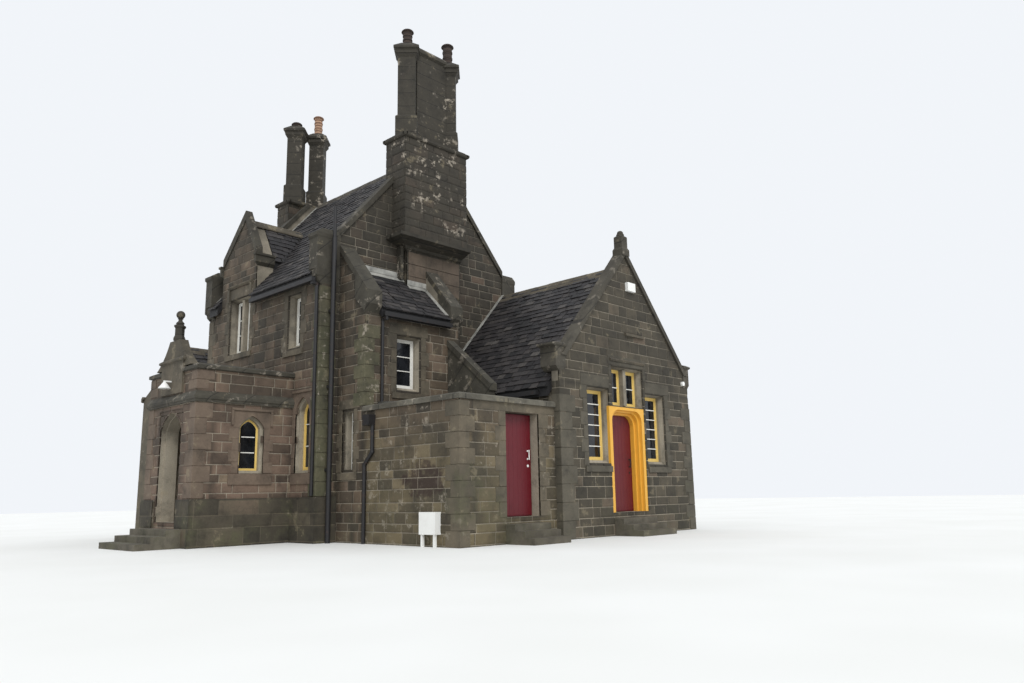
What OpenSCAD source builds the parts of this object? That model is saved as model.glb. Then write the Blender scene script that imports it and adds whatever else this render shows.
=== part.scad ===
// Victorian stone station house with a gabled main block, a gabled booking wing,
// a parapeted entrance porch, a lean-to and clustered chimneys.
// Origin: ground level at the near left corner of the main block.
// X runs along the gable fronts, Y runs back along the porch side, Z is up.

/* [Main block] */
// Width across the gable
main_w = 6200; // [6000:50:6400]
// Length along the porch side
main_l = 5300; // [5200:50:5500]
// Thickness of the main walls
wall_t = 450; // [400:10:500]
// Height of the roof ridge
ridge_h = 9600; // [9500:10:9700]
// Rise of the main and wing roofs for each unit of run
pitch = 1.15; // [1.13:0.01:1.17]

/* [Floors] */
// Top of the ground floor above the ground
floor_h = 500; // [450:10:550]
// Top of the upper floor above the ground
upper_floor_h = 3600; // [3500:10:3700]
// Top of the stair landing in the extension
landing_h = 2900; // [2850:10:3000]
// Thickness of each floor
floor_t = 200; // [150:10:240]

/* [Roofs] */
// Thickness of a roof slope, measured upright
roof_v = 200; // [180:10:220]
// Overhang of the eaves
eave_out = 130; // [110:10:150]
// Depth of the gable parapets behind the gable faces
parapet_t = 200; // [180:10:240]
// Height of the gable parapets above the roof surface
parapet_rise = 290; // [260:10:320]
// Thickness of the coping stones, measured upright
coping_v = 170; // [150:10:200]
// Overhang of the coping stones
coping_out = 60; // [40:5:80]
// Depth and width of a gutter
gutter_w = 100; // [90:5:120]

/* [Bay gable] */
// Distance of the bay gable from the far end, measured to its apex
bay_from_end = 1750; // [1700:10:1800]
// Width of the bay from its apex towards the near gable
bay_near_w = 620; // [600:10:650]
// Width of the bay from its apex towards the far gable
bay_far_w = 1110; // [1080:10:1150]
// Height of the bay wall at its apex
bay_apex_h = 8050; // [8000:10:8100]
// Height where the bay rakes begin
bay_foot_h = 6950; // [6900:10:7000]
// Height of the bay coping above its wall
bay_coping_v = 250; // [220:10:300]

/* [Wing] */
// Left side of the wing, where the extension ends
wing_x = 3200; // [3180:10:3250]
// Width of the wing
wing_w = 5100; // [5000:20:5160]
// Step of the wing front before the lean-to front
wing_step = 150; // [120:10:180]
// Thickness of the wing walls
wing_t = 400; // [360:10:420]
// Height of the wing ridge
wing_ridge_h = 6250; // [6200:10:6300]
// Height where the wing gable begins
wing_gable_h = 3280; // [3250:10:3300]

/* [Extension and lean-to] */
// Left side of the extension and of the lean-to
ext_x = 480; // [450:10:500]
// Projection of the extension in front of the main gable
ext_l = 1010; // [980:10:1050]
// Thickness of the extension and lean-to walls
ext_t = 350; // [300:10:350]
// Height of the extension roof where it meets the gable
ext_top_h = 6100; // [6050:10:6150]
// Rise of the extension roof for each unit of run
ext_pitch = 0.97; // [0.94:0.01:1]
// Height of the extension copings where they meet the gable
ext_rake_h = 6680; // [6640:10:6720]
// Height of the raking half gable where it meets the extension
half_gable_h = 4570; // [4500:10:4650]
// Projection of the lean-to in front of the main gable
lean_l = 3980; // [3900:20:4000]
// Height of the lean-to walls
lean_h = 2720; // [2700:10:2750]
// Thickness of the lean-to copings
lean_coping_v = 120; // [100:10:140]

/* [Outhouse] */
// Width of the outhouse at the far end, from the porch-side face
outhouse_w = 1870; // [1800:10:1900]
// Length of the outhouse beyond the far gable
outhouse_l = 3000; // [2900:10:3100]
// Height of the outhouse ridge
outhouse_ridge_h = 5100; // [5050:10:5150]

/* [Porch] */
// Projection of the porch from the main block
porch_p = 2240; // [2200:10:2300]
// Distance from the near gable to the porch
porch_y = 1000; // [960:10:1040]
// Width of the porch front
porch_w = 2250; // [2200:10:2300]
// Thickness of the porch walls
porch_t = 380; // [340:10:400]
// Height of the porch walls
porch_h = 3630; // [3600:10:3660]
// Clear width of the porch arch
arch_w = 950; // [900:10:1000]
// Height of the springing of the porch arch
arch_spring_h = 2430; // [2400:10:2460]
// Rise of the clear porch arch
arch_rise = 320; // [300:10:340]
// Width of each of the two arch mouldings
arch_order = 45; // [35:5:50]
// Height of the shaped gable over the porch arch
porch_gable_h = 4360; // [4300:10:4400]
// Length of the raking buttress beside the porch
buttress_w = 670; // [600:10:700]

/* [Doors] */
// Clear width of the lean-to doorway
lean_door_w = 970; // [930:10:1000]
// Height of the lean-to doorway above the floor
lean_door_h = 2050; // [2000:10:2080]
// Middle of the wing doorway from the near left corner of the main block
wing_door_mid = 5600; // [5580:10:5640]
// Clear width of the wing doorway
wing_door_w = 960; // [900:10:1000]
// Height of the painted surround of the wing door
surround_h = 2860; // [2820:10:2880]
// Thickness of a door leaf
leaf_t = 45; // [40:1:55]
// Side and head clearance of a door leaf
leaf_gap = 20; // [12:1:25]
// Clearance under a door leaf
leaf_under = 12; // [8:1:15]
// Clearance of a loose piece over its seat
seat = 0.3; // [0.2:0.1:0.4]
// Clearance between two hinge knuckles
knuckle_gap = 0.3; // [0.2:0.1:0.5]

/* [Windows] */
// Width of the tall wing windows
wing_window_w = 720; // [700:10:740]
// Height of the tall wing windows
wing_window_h = 1560; // [1500:10:1600]
// Height of the sills of the tall windows
sill_h = 1640; // [1600:10:1700]
// Width of the two-light wing window
wing_lights_w = 1140; // [1100:10:1160]
// Height of the two-light wing window
wing_lights_h = 840; // [800:10:860]
// Width of the two-light bay window
bay_lights_w = 950; // [900:10:1000]
// Height of the two-light bay window
bay_lights_h = 1350; // [1300:10:1400]
// Width of a mullion
mullion_w = 110; // [90:5:130]
// Clear width of the pointed windows
pointed_w = 460; // [440:10:480]
// Splay of a window opening at the wall face
splay = 60; // [40:5:70]
// Distance of the frames behind the wall faces
frame_in = 200; // [180:10:220]
// Thickness of a window frame
frame_t = 50; // [40:5:60]
// Visible width of a window frame
frame_w = 50; // [40:5:60]

/* [Chimneys] */
// Projection of the chimney breasts from the gables
breast_p = 200; // [150:10:220]
// Width of the chimney breasts
breast_w = 1740; // [1700:10:1760]
// Projection of the stacks from the gables, carried on corbels
stack_p = 500; // [470:10:530]
// Height of the corbel where the stacks begin
corbel_h = 7070; // [7000:10:7120]
// Height of the near stack under its cap
near_stack_h = 9640; // [9600:10:9700]
// Height of the far stack under its cap
far_stack_h = 9560; // [9500:10:9600]
// Thickness of a stack cap
cap_h = 130; // [110:10:150]
// Overhang of a stack cap
cap_out = 70; // [50:5:90]
// Width across the faces of a shaft
shaft_w = 440; // [420:10:460]
// Height of a shaft with its cap
shaft_h = 2660; // [2600:10:2700]

/* [Plinth] */
// Height of the plinth course
plinth_h = 970; // [900:10:1000]
// Projection of the plinth course
plinth_p = 60; // [40:5:80]

/* [Hidden] */
$fn = 48;

stone = "dimgray";
ashlar = "rosybrown";
slate = "darkslategray";
iron = "black";
main_mid = main_w / 2;
main_x1 = main_w - wall_t;
wing_l = lean_l + wing_step;
wing_x1 = wing_x + wing_w;
wing_mid = wing_x + wing_w / 2;
wing_in = -wing_l + wing_t;
lean_in = -lean_l + ext_t;
porch_mid = porch_y + porch_w / 2;
porch_y1 = porch_y + porch_w;
bay_mid = main_l - bay_from_end;
bay_y0 = bay_mid - bay_near_w;
bay_y1 = bay_mid + bay_far_w;
bay_lights_y = bay_mid - 350;
bay_sill_h = upper_floor_h + 1000;
upper_sill_h = upper_floor_h + 800;
upper_window_h = 1150;
upper_window_w = 450;
lean_door_x = ext_x + 1220;
lean_leaf_y = -lean_l + 210;
breast_x0 = main_mid - 840;
breast_x1 = breast_x0 + breast_w;
stack_x0 = breast_x0 - 310;
stack_x1 = breast_x1 - 20;
stack_in = 250;
near_shafts_x = [stack_x0 + 385, stack_x1 - 260];
far_shafts_x = [stack_x0 + 660, stack_x0 + 1430];
far_stack_x0 = stack_x0 + 250;
far_stack_x1 = stack_x1 - 30;
far_stack_p = stack_p + 100;
far_shaft_y = -380;
near_shaft_y = -80;
outlet_y = 90;
lining_w = 140;
surround_w = wing_door_w + 400;
surround_x0 = wing_door_mid - surround_w / 2;
surround_x1 = wing_door_mid + surround_w / 2;
wing_leaf_y = -wing_l + 280;
wing_window_x = [wing_door_mid - 1430, wing_door_mid + 800];
wing_lights_x = wing_door_mid - 500;
wing_lights_z = surround_h + 50;
pointed_rise = 300;
pointed_h = 1550;
pointed_z = sill_h - 100;
pointed_y = [porch_y - 410, porch_y1 + 1250];
porch_window_x = -porch_p / 2 + 130;
ext_window = [ext_x + 900, ext_x + 1490, 3320, 4450];
hinge_heights = [floor_h + 200, floor_h + 1000, floor_h + 1800];
buttress_x0 = -porch_p + 100;
buttress_x1 = buttress_x0 + 400;
half_gable_y = -ext_l - 1390;
half_gable_t = 180;

function main_roof(x) = ridge_h - pitch * abs(x - main_mid);
function wing_roof_h(x) = wing_ridge_h - pitch * abs(x - wing_mid);
function ext_roof_h(y) = ext_top_h + ext_pitch * y;
function ext_rake(y) = ext_rake_h + pitch * y;

module box(x0, x1, y0, y1, z0, z1) {
  translate([x0, y0, z0]) cube([x1 - x0, y1 - y0, z1 - z0]);
}
module along_x(x0, x1) {
  translate([x0, 0, 0]) rotate([90, 0, 90]) linear_extrude(x1 - x0) children();
}
module along_y(y0, y1) {
  translate([0, y1, 0]) rotate([90, 0, 0]) linear_extrude(y1 - y0) children();
}
module far_side() {
  translate([0, main_l, 0]) mirror([0, 1, 0]) children();
}
// What is drawn along X comes out along Y
module swapped() {
  mirror([1, -1, 0]) children();
}
// Outline of a pointed opening: clear width w, foot z0, springing zs and rise r.
// The arcs are 1 mm wider than the jambs, so that they leave them in one clean corner.
module arch_outline(mid, w, z0, zs, r) {
  chord = sqrt(w * w / 4 + r * r);
  rad = max(0.8 * w, chord * 0.52);
  d = sqrt(rad * rad - chord * chord / 4);
  cx = -w / 4 + r / chord * d;
  cz = zs + r / 2 - w / 2 / chord * d;
  translate([mid - w / 2, z0]) square([w, zs - z0]);
  intersection() {
    translate([mid + cx, cz]) circle(rad + 1, $fn = 96);
    translate([mid - cx, cz]) circle(rad + 1, $fn = 96);
    translate([mid - w / 2, zs]) square([w, 2 * w]);
  }
}
// Mitred block: prof lists [distance outside the box, height] from the foot up,
// and s scales that distance at the sides x0, x1, y0 and y1
module moulded_block(x0, x1, y0, y1, prof, s = [1, 1, 1, 1]) {
  n = len(prof);
  far = 500;
  intersection() {
    along_y(y0 - far, y1 + far) polygon(concat(
      [for (p = prof) [x0 - s[0] * p[0], p[1]]],
      [for (i = [n - 1:-1:0]) [x1 + s[1] * prof[i][0], prof[i][1]]]));
    along_x(x0 - far, x1 + far) polygon(concat(
      [for (p = prof) [y0 - s[2] * p[0], p[1]]],
      [for (i = [n - 1:-1:0]) [y1 + s[3] * prof[i][0], prof[i][1]]]));
  }
}
// Window opening through a wall from its outer face at Y 0 to its inner face at Y t,
// splayed at the outer face, with a sill that falls by drop
module splayed(x0, x1, z0, z1, t, drop = 130) {
  d = frame_in - 60;
  intersection() {
    linear_extrude(ridge_h) polygon([[x0 - splay, -1], [x1 + splay, -1], [x1 + splay, 0],
      [x1, d], [x1, t + 1], [x0, t + 1], [x0, d], [x0 - splay, 0]]);
    along_x(x0 - 500, x1 + 500) polygon([[-1, z0 - drop], [0, z0 - drop], [d, z0],
      [t + 1, z0], [t + 1, z1], [d, z1], [0, z1 + splay], [-1, z1 + splay]]);
  }
}
// Two lights with a mullion set back from the wall face
module two_lights(x, w, z0, h, t) {
  difference() {
    splayed(x, x + w, z0, z0 + h, t, 60);
    box(x + w / 2 - mullion_w / 2, x + w / 2 + mullion_w / 2, 80, t + 2, z0, z0 + h);
  }
}

// Sloping-topped long wall under the main roof
module long_wall_profile() {
  polygon([[0, 0], [wall_t, 0], [wall_t, main_roof(wall_t) - roof_v],
    [0, main_roof(0) - roof_v]]);
}
// Bay gable outline, raised by rise
module bay_gable_profile(rise) {
  polygon([[bay_y0, upper_floor_h], [bay_y1, upper_floor_h], [bay_y1, bay_foot_h + rise],
    [bay_mid, bay_apex_h + rise], [bay_y0, bay_foot_h + rise]]);
}
module pointed_window(mid, t) {
  along_x(-1, t + 1) arch_outline(mid, pointed_w, pointed_z, pointed_z + pointed_h
    - pointed_rise, pointed_rise);
  along_x(-1, 70) arch_outline(mid, pointed_w + 2 * splay, pointed_z - splay,
    pointed_z + pointed_h - pointed_rise, pointed_rise + splay);
}
module facade_wall() {
  color(stone) difference() {
    union() {
      along_y(0, main_l) long_wall_profile();
      along_x(0, wall_t) bay_gable_profile(0);
    }
    swapped() {
      splayed(850, 850 + upper_window_w, upper_sill_h, upper_sill_h + upper_window_h, wall_t);
      two_lights(bay_lights_y, bay_lights_w, bay_sill_h, bay_lights_h, wall_t);
    }
    for (y = pointed_y) pointed_window(y, wall_t);
    box(-1, wall_t + 1, porch_mid - 550, porch_mid + 550, floor_h, floor_h + 2200);
  }
}
module rear_wall() {
  color(stone) translate([main_w, 0, 0]) mirror([1, 0, 0]) difference() {
    along_y(0, main_l) long_wall_profile();
    swapped() for (y = [1300, main_l - 1300 - upper_window_w]) {
      splayed(y, y + upper_window_w, upper_sill_h, upper_sill_h + upper_window_h, wall_t);
      splayed(y, y + upper_window_w, sill_h, sill_h + wing_window_h, wall_t);
    }
  }
}
module gable_profile(rise) {
  polygon([[wall_t, 0], [main_x1, 0], [main_x1, main_roof(main_x1) + rise],
    [main_mid, ridge_h + rise], [wall_t, main_roof(wall_t) + rise]]);
}
module gable_wall() {
  along_y(0, wall_t) gable_profile(-roof_v);
  along_y(0, parapet_t) gable_profile(parapet_rise);
}
module near_gable_wall() {
  color(stone) difference() {
    gable_wall();
    box(stack_x0, stack_x1, -1, stack_in, corbel_h + 80, 2 * ridge_h);
    box(stack_x0 - cap_out, stack_x1 + cap_out, -1, wall_t + 1, near_stack_h, 2 * ridge_h);
  }
}
module far_gable_wall() {
  color(stone) far_side() difference() {
    gable_wall();
    box(0, main_w, -1, wall_t + 1, far_stack_h, 2 * ridge_h);
  }
}
module plinth_course() {
  prof = [[plinth_p, 0], [plinth_p, plinth_h - plinth_p], [0, plinth_h]];
  color(ashlar) difference() {
    union() {
      moulded_block(0, main_w, 0, main_l, prof);
      moulded_block(-porch_p, 0, porch_y, porch_y1, prof, [1, 0, 1, 1]);
    }
    box(0, main_w, 0, main_l, -1, plinth_h + 1);
    box(-porch_p, 1, porch_y, porch_y1, -1, plinth_h + 1);
    box(-porch_p - 100, 0, porch_mid - arch_w / 2 - 2 * arch_order,
      porch_mid + arch_w / 2 + 2 * arch_order, -1, plinth_h + 1);
    box(buttress_x0, buttress_x1, porch_y1 - 1, porch_y1 + buttress_w, -1, plinth_h + 1);
    box(ext_x, main_w + 100, -100, 0, -1, plinth_h + 1);
    box(-100, outhouse_w, main_l, main_l + 100, -1, plinth_h + 1);
    box(breast_x0, breast_x1, main_l - 1, main_l + 100, -1, plinth_h + 1);
  }
}
module ground_floor() {
  z0 = floor_h - floor_t;
  color("tan") {
    box(wall_t, main_x1, wall_t, main_l - wall_t, z0, floor_h);
    box(ext_x + ext_t, wing_x - ext_t, -ext_l + ext_t, -breast_p, z0, floor_h);
    box(ext_x + ext_t, breast_x0, -breast_p, 0, z0, floor_h);
    box(ext_x + ext_t, wing_x, lean_in, -ext_l, z0, floor_h);
    box(wing_x + wing_t, wing_x1 - wing_t, wing_in, -wing_t, z0, floor_h);
    box(wing_x + wing_t, main_w, -wing_t, -breast_p, z0, floor_h);
    box(-porch_p + porch_t, 0, porch_y + porch_t, porch_y1 - porch_t, z0, floor_h);
    box(ext_t, outhouse_w - ext_t, main_l, main_l + outhouse_l - ext_t, z0, floor_h);
  }
}
module upper_floor() {
  color("tan") {
    box(wall_t, main_x1, wall_t, main_l - wall_t, upper_floor_h - floor_t, upper_floor_h);
    box(ext_x + ext_t, wing_x - ext_t, -ext_l + ext_t, -breast_p, landing_h - floor_t,
      landing_h);
    box(ext_x + ext_t, breast_x0, -breast_p, 0, landing_h - floor_t, landing_h);
  }
}
module roof_slope_profile() {
  polygon([[-eave_out, main_roof(-eave_out) - roof_v], [main_mid, ridge_h - roof_v],
    [main_mid, ridge_h], [-eave_out, main_roof(-eave_out)]]);
}
module main_roof_porch_side() {
  color(slate) difference() {
    along_y(parapet_t, main_l - parapet_t) roof_slope_profile();
    box(-eave_out - 1, wall_t, bay_y0, bay_y1, upper_floor_h, ridge_h);
    box(stack_x0 - 1, main_w, 0, stack_in, corbel_h + 80, 2 * ridge_h);
  }
}
module main_roof_rear_side() {
  color(slate) difference() {
    translate([main_w, 0, 0]) mirror([1, 0, 0])
      along_y(parapet_t, main_l - parapet_t) roof_slope_profile();
    box(0, stack_x1 + 1, 0, stack_in, corbel_h + 80, 2 * ridge_h);
  }
}
module bay_roof() {
  color(slate) difference() {
    along_x(wall_t, main_mid) bay_gable_profile(-50);
    along_y(0, main_l) polygon([[-500, 0], [main_mid, 0], [main_mid, ridge_h],
      [-500, main_roof(-500)]]);
  }
}
// Coping band along the left rake of the main gable, from xa to xb
module rake_coping(xa, xb) {
  along_y(-coping_out, parapet_t + 30) polygon([
    [xa, main_roof(xa) + parapet_rise], [xb, main_roof(xb) + parapet_rise],
    [xb, main_roof(xb) + parapet_rise + coping_v],
    [xa, main_roof(xa) + parapet_rise + coping_v]]);
}
// Corbelled block with a weathered cap at the foot of a main gable
module kneeler(side) {
  z = main_roof(0);
  prof = [[0, z - 420], [40, z - 380], [90, z - 320], [100, z - 250], [150, z - 210],
    [150, z + 660], [190, z + 700], [190, z + 780], [0, z + 900]];
  difference() {
    moulded_block(0, wall_t, 0, parapet_t + 100, prof, [side, 0, 0.3, 0]);
    along_y(0, wall_t + 500) long_wall_profile();
    along_y(parapet_t, wall_t + 500) roof_slope_profile();
    box(-eave_out - 2 * gutter_w, -eave_out, 20, wall_t + 500, 0, z - 50);
    box(-eave_out - 1, 0, outlet_y - 45, outlet_y + 45, 0, main_roof(-eave_out) - 205);
  }
}
module gable_coping(xa, xb) {
  kneeler(1);
  translate([main_w, 0, 0]) mirror([1, 0, 0]) kneeler(0.3);
  rake_coping(wall_t, xa);
  translate([main_w, 0, 0]) mirror([1, 0, 0]) rake_coping(wall_t, main_w - xb);
}
module near_gable_coping() {
  color(stone) difference() {
    gable_coping(stack_x0, stack_x1);
    along_y(-wing_l, 0) polygon([[wing_x, 0], [wing_x, wing_roof_h(wing_x)],
      [wing_mid, wing_ridge_h], [wing_x1, wing_roof_h(wing_x1)], [wing_x1, 0]]);
  }
}
module far_gable_coping() {
  color(stone) far_side() difference() {
    gable_coping(main_mid, main_mid);
    box(0, main_w, -500, wall_t + 500, far_stack_h, 2 * ridge_h);
    box(far_stack_x0, far_stack_x1, -500, 0, corbel_h, 2 * ridge_h);
  }
}
module bay_gable_coping() {
  z = bay_foot_h;
  color(stone) {
    along_x(-coping_out + 20, parapet_t - 60) difference() {
      bay_gable_profile(bay_coping_v);
      bay_gable_profile(0);
      square([main_l * 2, z + 60]);
    }
    for (m = [0, 1]) translate([0, m * (bay_y0 + bay_y1), 0]) mirror([0, m, 0])
      difference() {
        moulded_block(0, wall_t, bay_y0, bay_mid, [[0, z - 250], [80, z - 170],
          [80, z - 10], [110, z + 10], [110, z + 60]], [1, 0, 1, 0]);
        along_x(0, wall_t + 1) bay_gable_profile(0);
        translate([0, bay_y0 + bay_y1, 0]) mirror([0, 1, 0]) along_x(0, wall_t + 1)
          bay_gable_profile(0);
        along_x(-500, wall_t + 1) translate([0, -60]) bay_gable_profile(60);
        box(-500, 0, bay_y0 + 250, bay_mid + 1, 0, 2 * z);
        box(-500, wall_t + 1, bay_y0 + 250, bay_mid + 1, z, 2 * z);
        along_y(0, main_l) polygon([[-500, 0], [main_mid, 0], [main_mid, ridge_h],
          [-500, main_roof(-500)]]);
      }
  }
}
// Chimney breast with the moulded corbel that carries the stack
module breast(p) {
  z = corbel_h;
  d = p - breast_p;
  box(breast_x0, breast_x1, -breast_p, 0, 0, z);
  moulded_block(breast_x0, breast_x1, -breast_p, 0, [[0, z - 230], [70, z - 190],
    [90, z - 130], [d * 0.7, z - 80], [d, z - 30], [d + 100, z], [d + 100, z + 80]],
    [1.4, 0.1, 1, 0]);
}
module near_chimney_breast() {
  color(stone) breast(stack_p);
}
module far_chimney_breast() {
  color(stone) far_side() breast(far_stack_p);
}
module stack_cap(x0, x1, y0, y1, z) {
  moulded_block(x0, x1, y0, y1, [[0, z], [cap_out - 20, z + 20], [cap_out, z + 50],
    [cap_out, z + cap_h - 20], [-250, z + 2 * cap_h - 20]]);
}
module near_stack_cap() {
  stack_cap(stack_x0, stack_x1, -stack_p, stack_in, near_stack_h);
}
module far_stack_cap() {
  stack_cap(far_stack_x0, far_stack_x1, -far_stack_p, 30, far_stack_h);
}
module near_chimney_stack() {
  color(stone) {
    box(stack_x0, stack_x1, -stack_p, stack_in, corbel_h + 80, near_stack_h);
    near_stack_cap();
  }
}
module far_chimney_stack() {
  color(stone) far_side() {
    box(far_stack_x0, far_stack_x1, -far_stack_p, 0, corbel_h + 80, far_stack_h);
    far_stack_cap();
  }
}
// Square shaft set cornerwise on a block, with a moulded and weathered cap
module shaft(x, y, z, h) {
  r = shaft_w / 2;
  translate([x, y, 0]) rotate(45) moulded_block(-r, r, -r, r, [[50, z], [50, z + 560],
    [0, z + 620], [0, z + h - 450], [45, z + h - 370], [60, z + h - 350],
    [60, z + h - 270], [85, z + h - 240], [105, z + h - 230], [105, z + h - 170],
    [-80, z + h]]);
}
module near_chimney_shafts() {
  z = near_stack_h + cap_h;
  x0 = near_shafts_x[0] + 200;
  x1 = near_shafts_x[1] - 200;
  color(iron) difference() {
    union() {
      for (x = near_shafts_x) shaft(x, near_shaft_y, z, shaft_h);
      moulded_block(x0, x1, near_shaft_y - 150, near_shaft_y + 150, [[0, z],
        [0, z + shaft_h - 220], [60, z + shaft_h - 160], [60, z + shaft_h - 90],
        [0, z + shaft_h - 10]], [0, 0, 1, 1]);
    }
    near_stack_cap();
  }
}
module far_chimney_shafts() {
  z = far_stack_h + cap_h;
  color(iron) far_side() difference() {
    for (x = far_shafts_x) shaft(x, far_shaft_y, z, shaft_h - 90);
    far_stack_cap();
  }
}
// Round chimney pot with two bands and a domed cap
module pot(x, y, z, r, h) {
  translate([x, y, z]) rotate_extrude() difference() {
    union() {
      square([r, h]);
      for (b = [0.3, 0.65]) translate([0, b * h]) square([r + 12, 40]);
      translate([0, h]) intersection() {
        scale([1, 0.5]) circle(r + 45);
        square([r + 45, r + 45]);
      }
    }
    translate([-2 * r, 0]) square([2 * r, 2 * h]);
  }
}
module chimney_pots() {
  z = near_stack_h + cap_h + shaft_h + seat;
  far_z = far_stack_h + cap_h + shaft_h - 90 + seat;
  color("saddlebrown") {
    pot(near_shafts_x[0], near_shaft_y, z, 115, 360);
    pot(near_shafts_x[1], near_shaft_y, z, 125, 520);
    far_side() {
      pot(far_shafts_x[1], far_shaft_y, far_z, 120, 540);
      pot(far_shafts_x[0], far_shaft_y, far_z, 120, 70);
    }
  }
}

module extension_front_wall() {
  w = ext_window;
  color(stone) difference() {
    along_x(ext_x, wing_x) polygon([[-ext_l, 0], [-ext_l + ext_t, 0],
      [-ext_l + ext_t, ext_roof_h(-ext_l + ext_t) - roof_v],
      [-ext_l, ext_roof_h(-ext_l) - roof_v]]);
    translate([0, -ext_l, 0]) splayed(w[0], w[1], w[2], w[3], ext_t);
  }
}
// Outline of an extension side wall from its front part back to y1
module extension_side(y1) {
  y0 = -ext_l + ext_t;
  polygon([[y0, 0], [y1, 0], [y1, ext_rake(y1) - coping_v], [y0, ext_rake(y0) - coping_v]]);
}
module extension_side_walls() {
  color(stone) {
    difference() {
      along_x(ext_x, ext_x + ext_t) extension_side(0);
      box(ext_x - 1, ext_x + ext_t + 1, -600, -300, sill_h - 120, sill_h + 1110);
      box(ext_x - 1, ext_x + 60, -660, -240, sill_h - 180, sill_h + 1170);
    }
    along_x(wing_x - ext_t, wing_x) extension_side(-breast_p);
  }
}
module extension_roof() {
  y0 = -ext_l - 110;
  color(slate) difference() {
    along_x(ext_x + ext_t, wing_x - ext_t) polygon([[y0, ext_roof_h(y0)],
      [y0, ext_roof_h(y0) - roof_v], [0, ext_top_h - roof_v], [0, ext_top_h]]);
    box(breast_x0, breast_x1, -breast_p, 1, 0, ridge_h);
  }
}
// Raking coping and the kneeler at its foot, back to y1
module extension_rake(x0, x1, y1) {
  y0 = -ext_l + ext_t;
  yk = -ext_l - 120;
  z0 = ext_roof_h(-ext_l) - roof_v;
  along_x(x0, x1) polygon([[y0, ext_rake(y0) - coping_v], [y1, ext_rake(y1) - coping_v],
    [y1, ext_rake(y1)], [yk, ext_rake(yk)], [yk, z0 + 150], [-ext_l, z0 - 40],
    [-ext_l, z0], [y0, ext_roof_h(y0) - roof_v]]);
}
module extension_copings() {
  color(stone) {
    extension_rake(ext_x - 50, ext_x + ext_t, -coping_out);
    extension_rake(wing_x - ext_t, wing_x + 40, -breast_p);
  }
}
// Low raking wall over the lean-to, with its coping
module raking_half_gable() {
  x0 = wing_x - ext_t;
  x1 = x0 + half_gable_t;
  color(stone) {
    along_x(x0, x1) polygon([[half_gable_y, lean_h], [-ext_l, lean_h],
      [-ext_l, half_gable_h - 150], [half_gable_y, half_gable_h - 1310]]);
    along_x(x0 - 30, x1 + 20) polygon([[half_gable_y - 40, half_gable_h - 1350],
      [half_gable_y, half_gable_h - 1310], [-ext_l, half_gable_h - 150],
      [-ext_l, half_gable_h], [half_gable_y - 40, half_gable_h - 1190]]);
  }
}

module lean_to_side_wall() {
  color(stone) box(ext_x, ext_x + ext_t, -lean_l, -ext_l, 0, lean_h);
}
module lean_to_wall_beside_door() {
  z = floor_h + lean_door_h;
  x1 = lean_door_x + lean_door_w;
  color(stone) {
    box(ext_x + ext_t, lean_door_x, -lean_l, lean_in, 0, z);
    box(x1, wing_x, -lean_l, lean_in, 0, z);
    box(lean_door_x, x1, -lean_l, lean_in, 0, floor_h);
  }
}
module lean_to_door_lintel() {
  color(ashlar) box(ext_x + ext_t, wing_x, -lean_l, lean_in, floor_h + lean_door_h, lean_h);
}
module lean_to_roof() {
  z = lean_h - 80;
  x0 = wing_x - ext_t - 30;
  x1 = wing_x - ext_t + half_gable_t + 20;
  color("gray") difference() {
    along_x(ext_x + ext_t, wing_x) polygon([[lean_in, z], [-ext_l, z],
      [-ext_l, lean_h + 230], [lean_in, lean_h + 60]]);
    box(x0 + 30, x1 - 20, half_gable_y, 0, lean_h, 2 * lean_h);
  }
}
module lean_to_coping() {
  z1 = lean_h + lean_coping_v;
  color("gray") difference() {
    moulded_block(ext_x, wing_x, -lean_l, -ext_l, [[50, lean_h], [50, z1 - 30], [0, z1]],
      [1, 0, 1, 0]);
    box(ext_x + ext_t, wing_x + 1, lean_in, 0, 0, 2 * lean_h);
  }
}
// Hinge knuckle and plate fixed to the jamb, at height z
module jamb_hinge(x, y, z) {
  translate([x + 12, y + 12, z]) cylinder(50, 9, 9);
  box(x, x + 12, y + 12, y + 50, z, z + 50);
}
// Hinge knuckle and plate fixed to the leaf, at height z
module leaf_hinge(x, y, z) {
  translate([x + 12, y + 12, z]) cylinder(50, 9, 9);
  box(x + 12, x + 60, y, y + 6, z, z + 50);
}
module leaf(x0, x1, y, z1) {
  box(x0 + leaf_gap, x1 - leaf_gap, y, y + leaf_t, floor_h + leaf_under, z1 - leaf_gap);
  for (z = hinge_heights) leaf_hinge(x0, y + leaf_t, z + 50 + knuckle_gap);
}
module lean_to_door() {
  color("maroon") leaf(lean_door_x, lean_door_x + lean_door_w, lean_leaf_y,
    floor_h + lean_door_h);
}
module wing_door() {
  color("maroon") leaf(surround_x0 + lining_w, surround_x1 - lining_w, wing_leaf_y,
    surround_h - 20);
}
module door_hinges() {
  color(iron) for (z = hinge_heights) {
    jamb_hinge(lean_door_x, lean_leaf_y + leaf_t, z);
    jamb_hinge(surround_x0 + lining_w, wing_leaf_y + leaf_t, z);
  }
}

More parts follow.
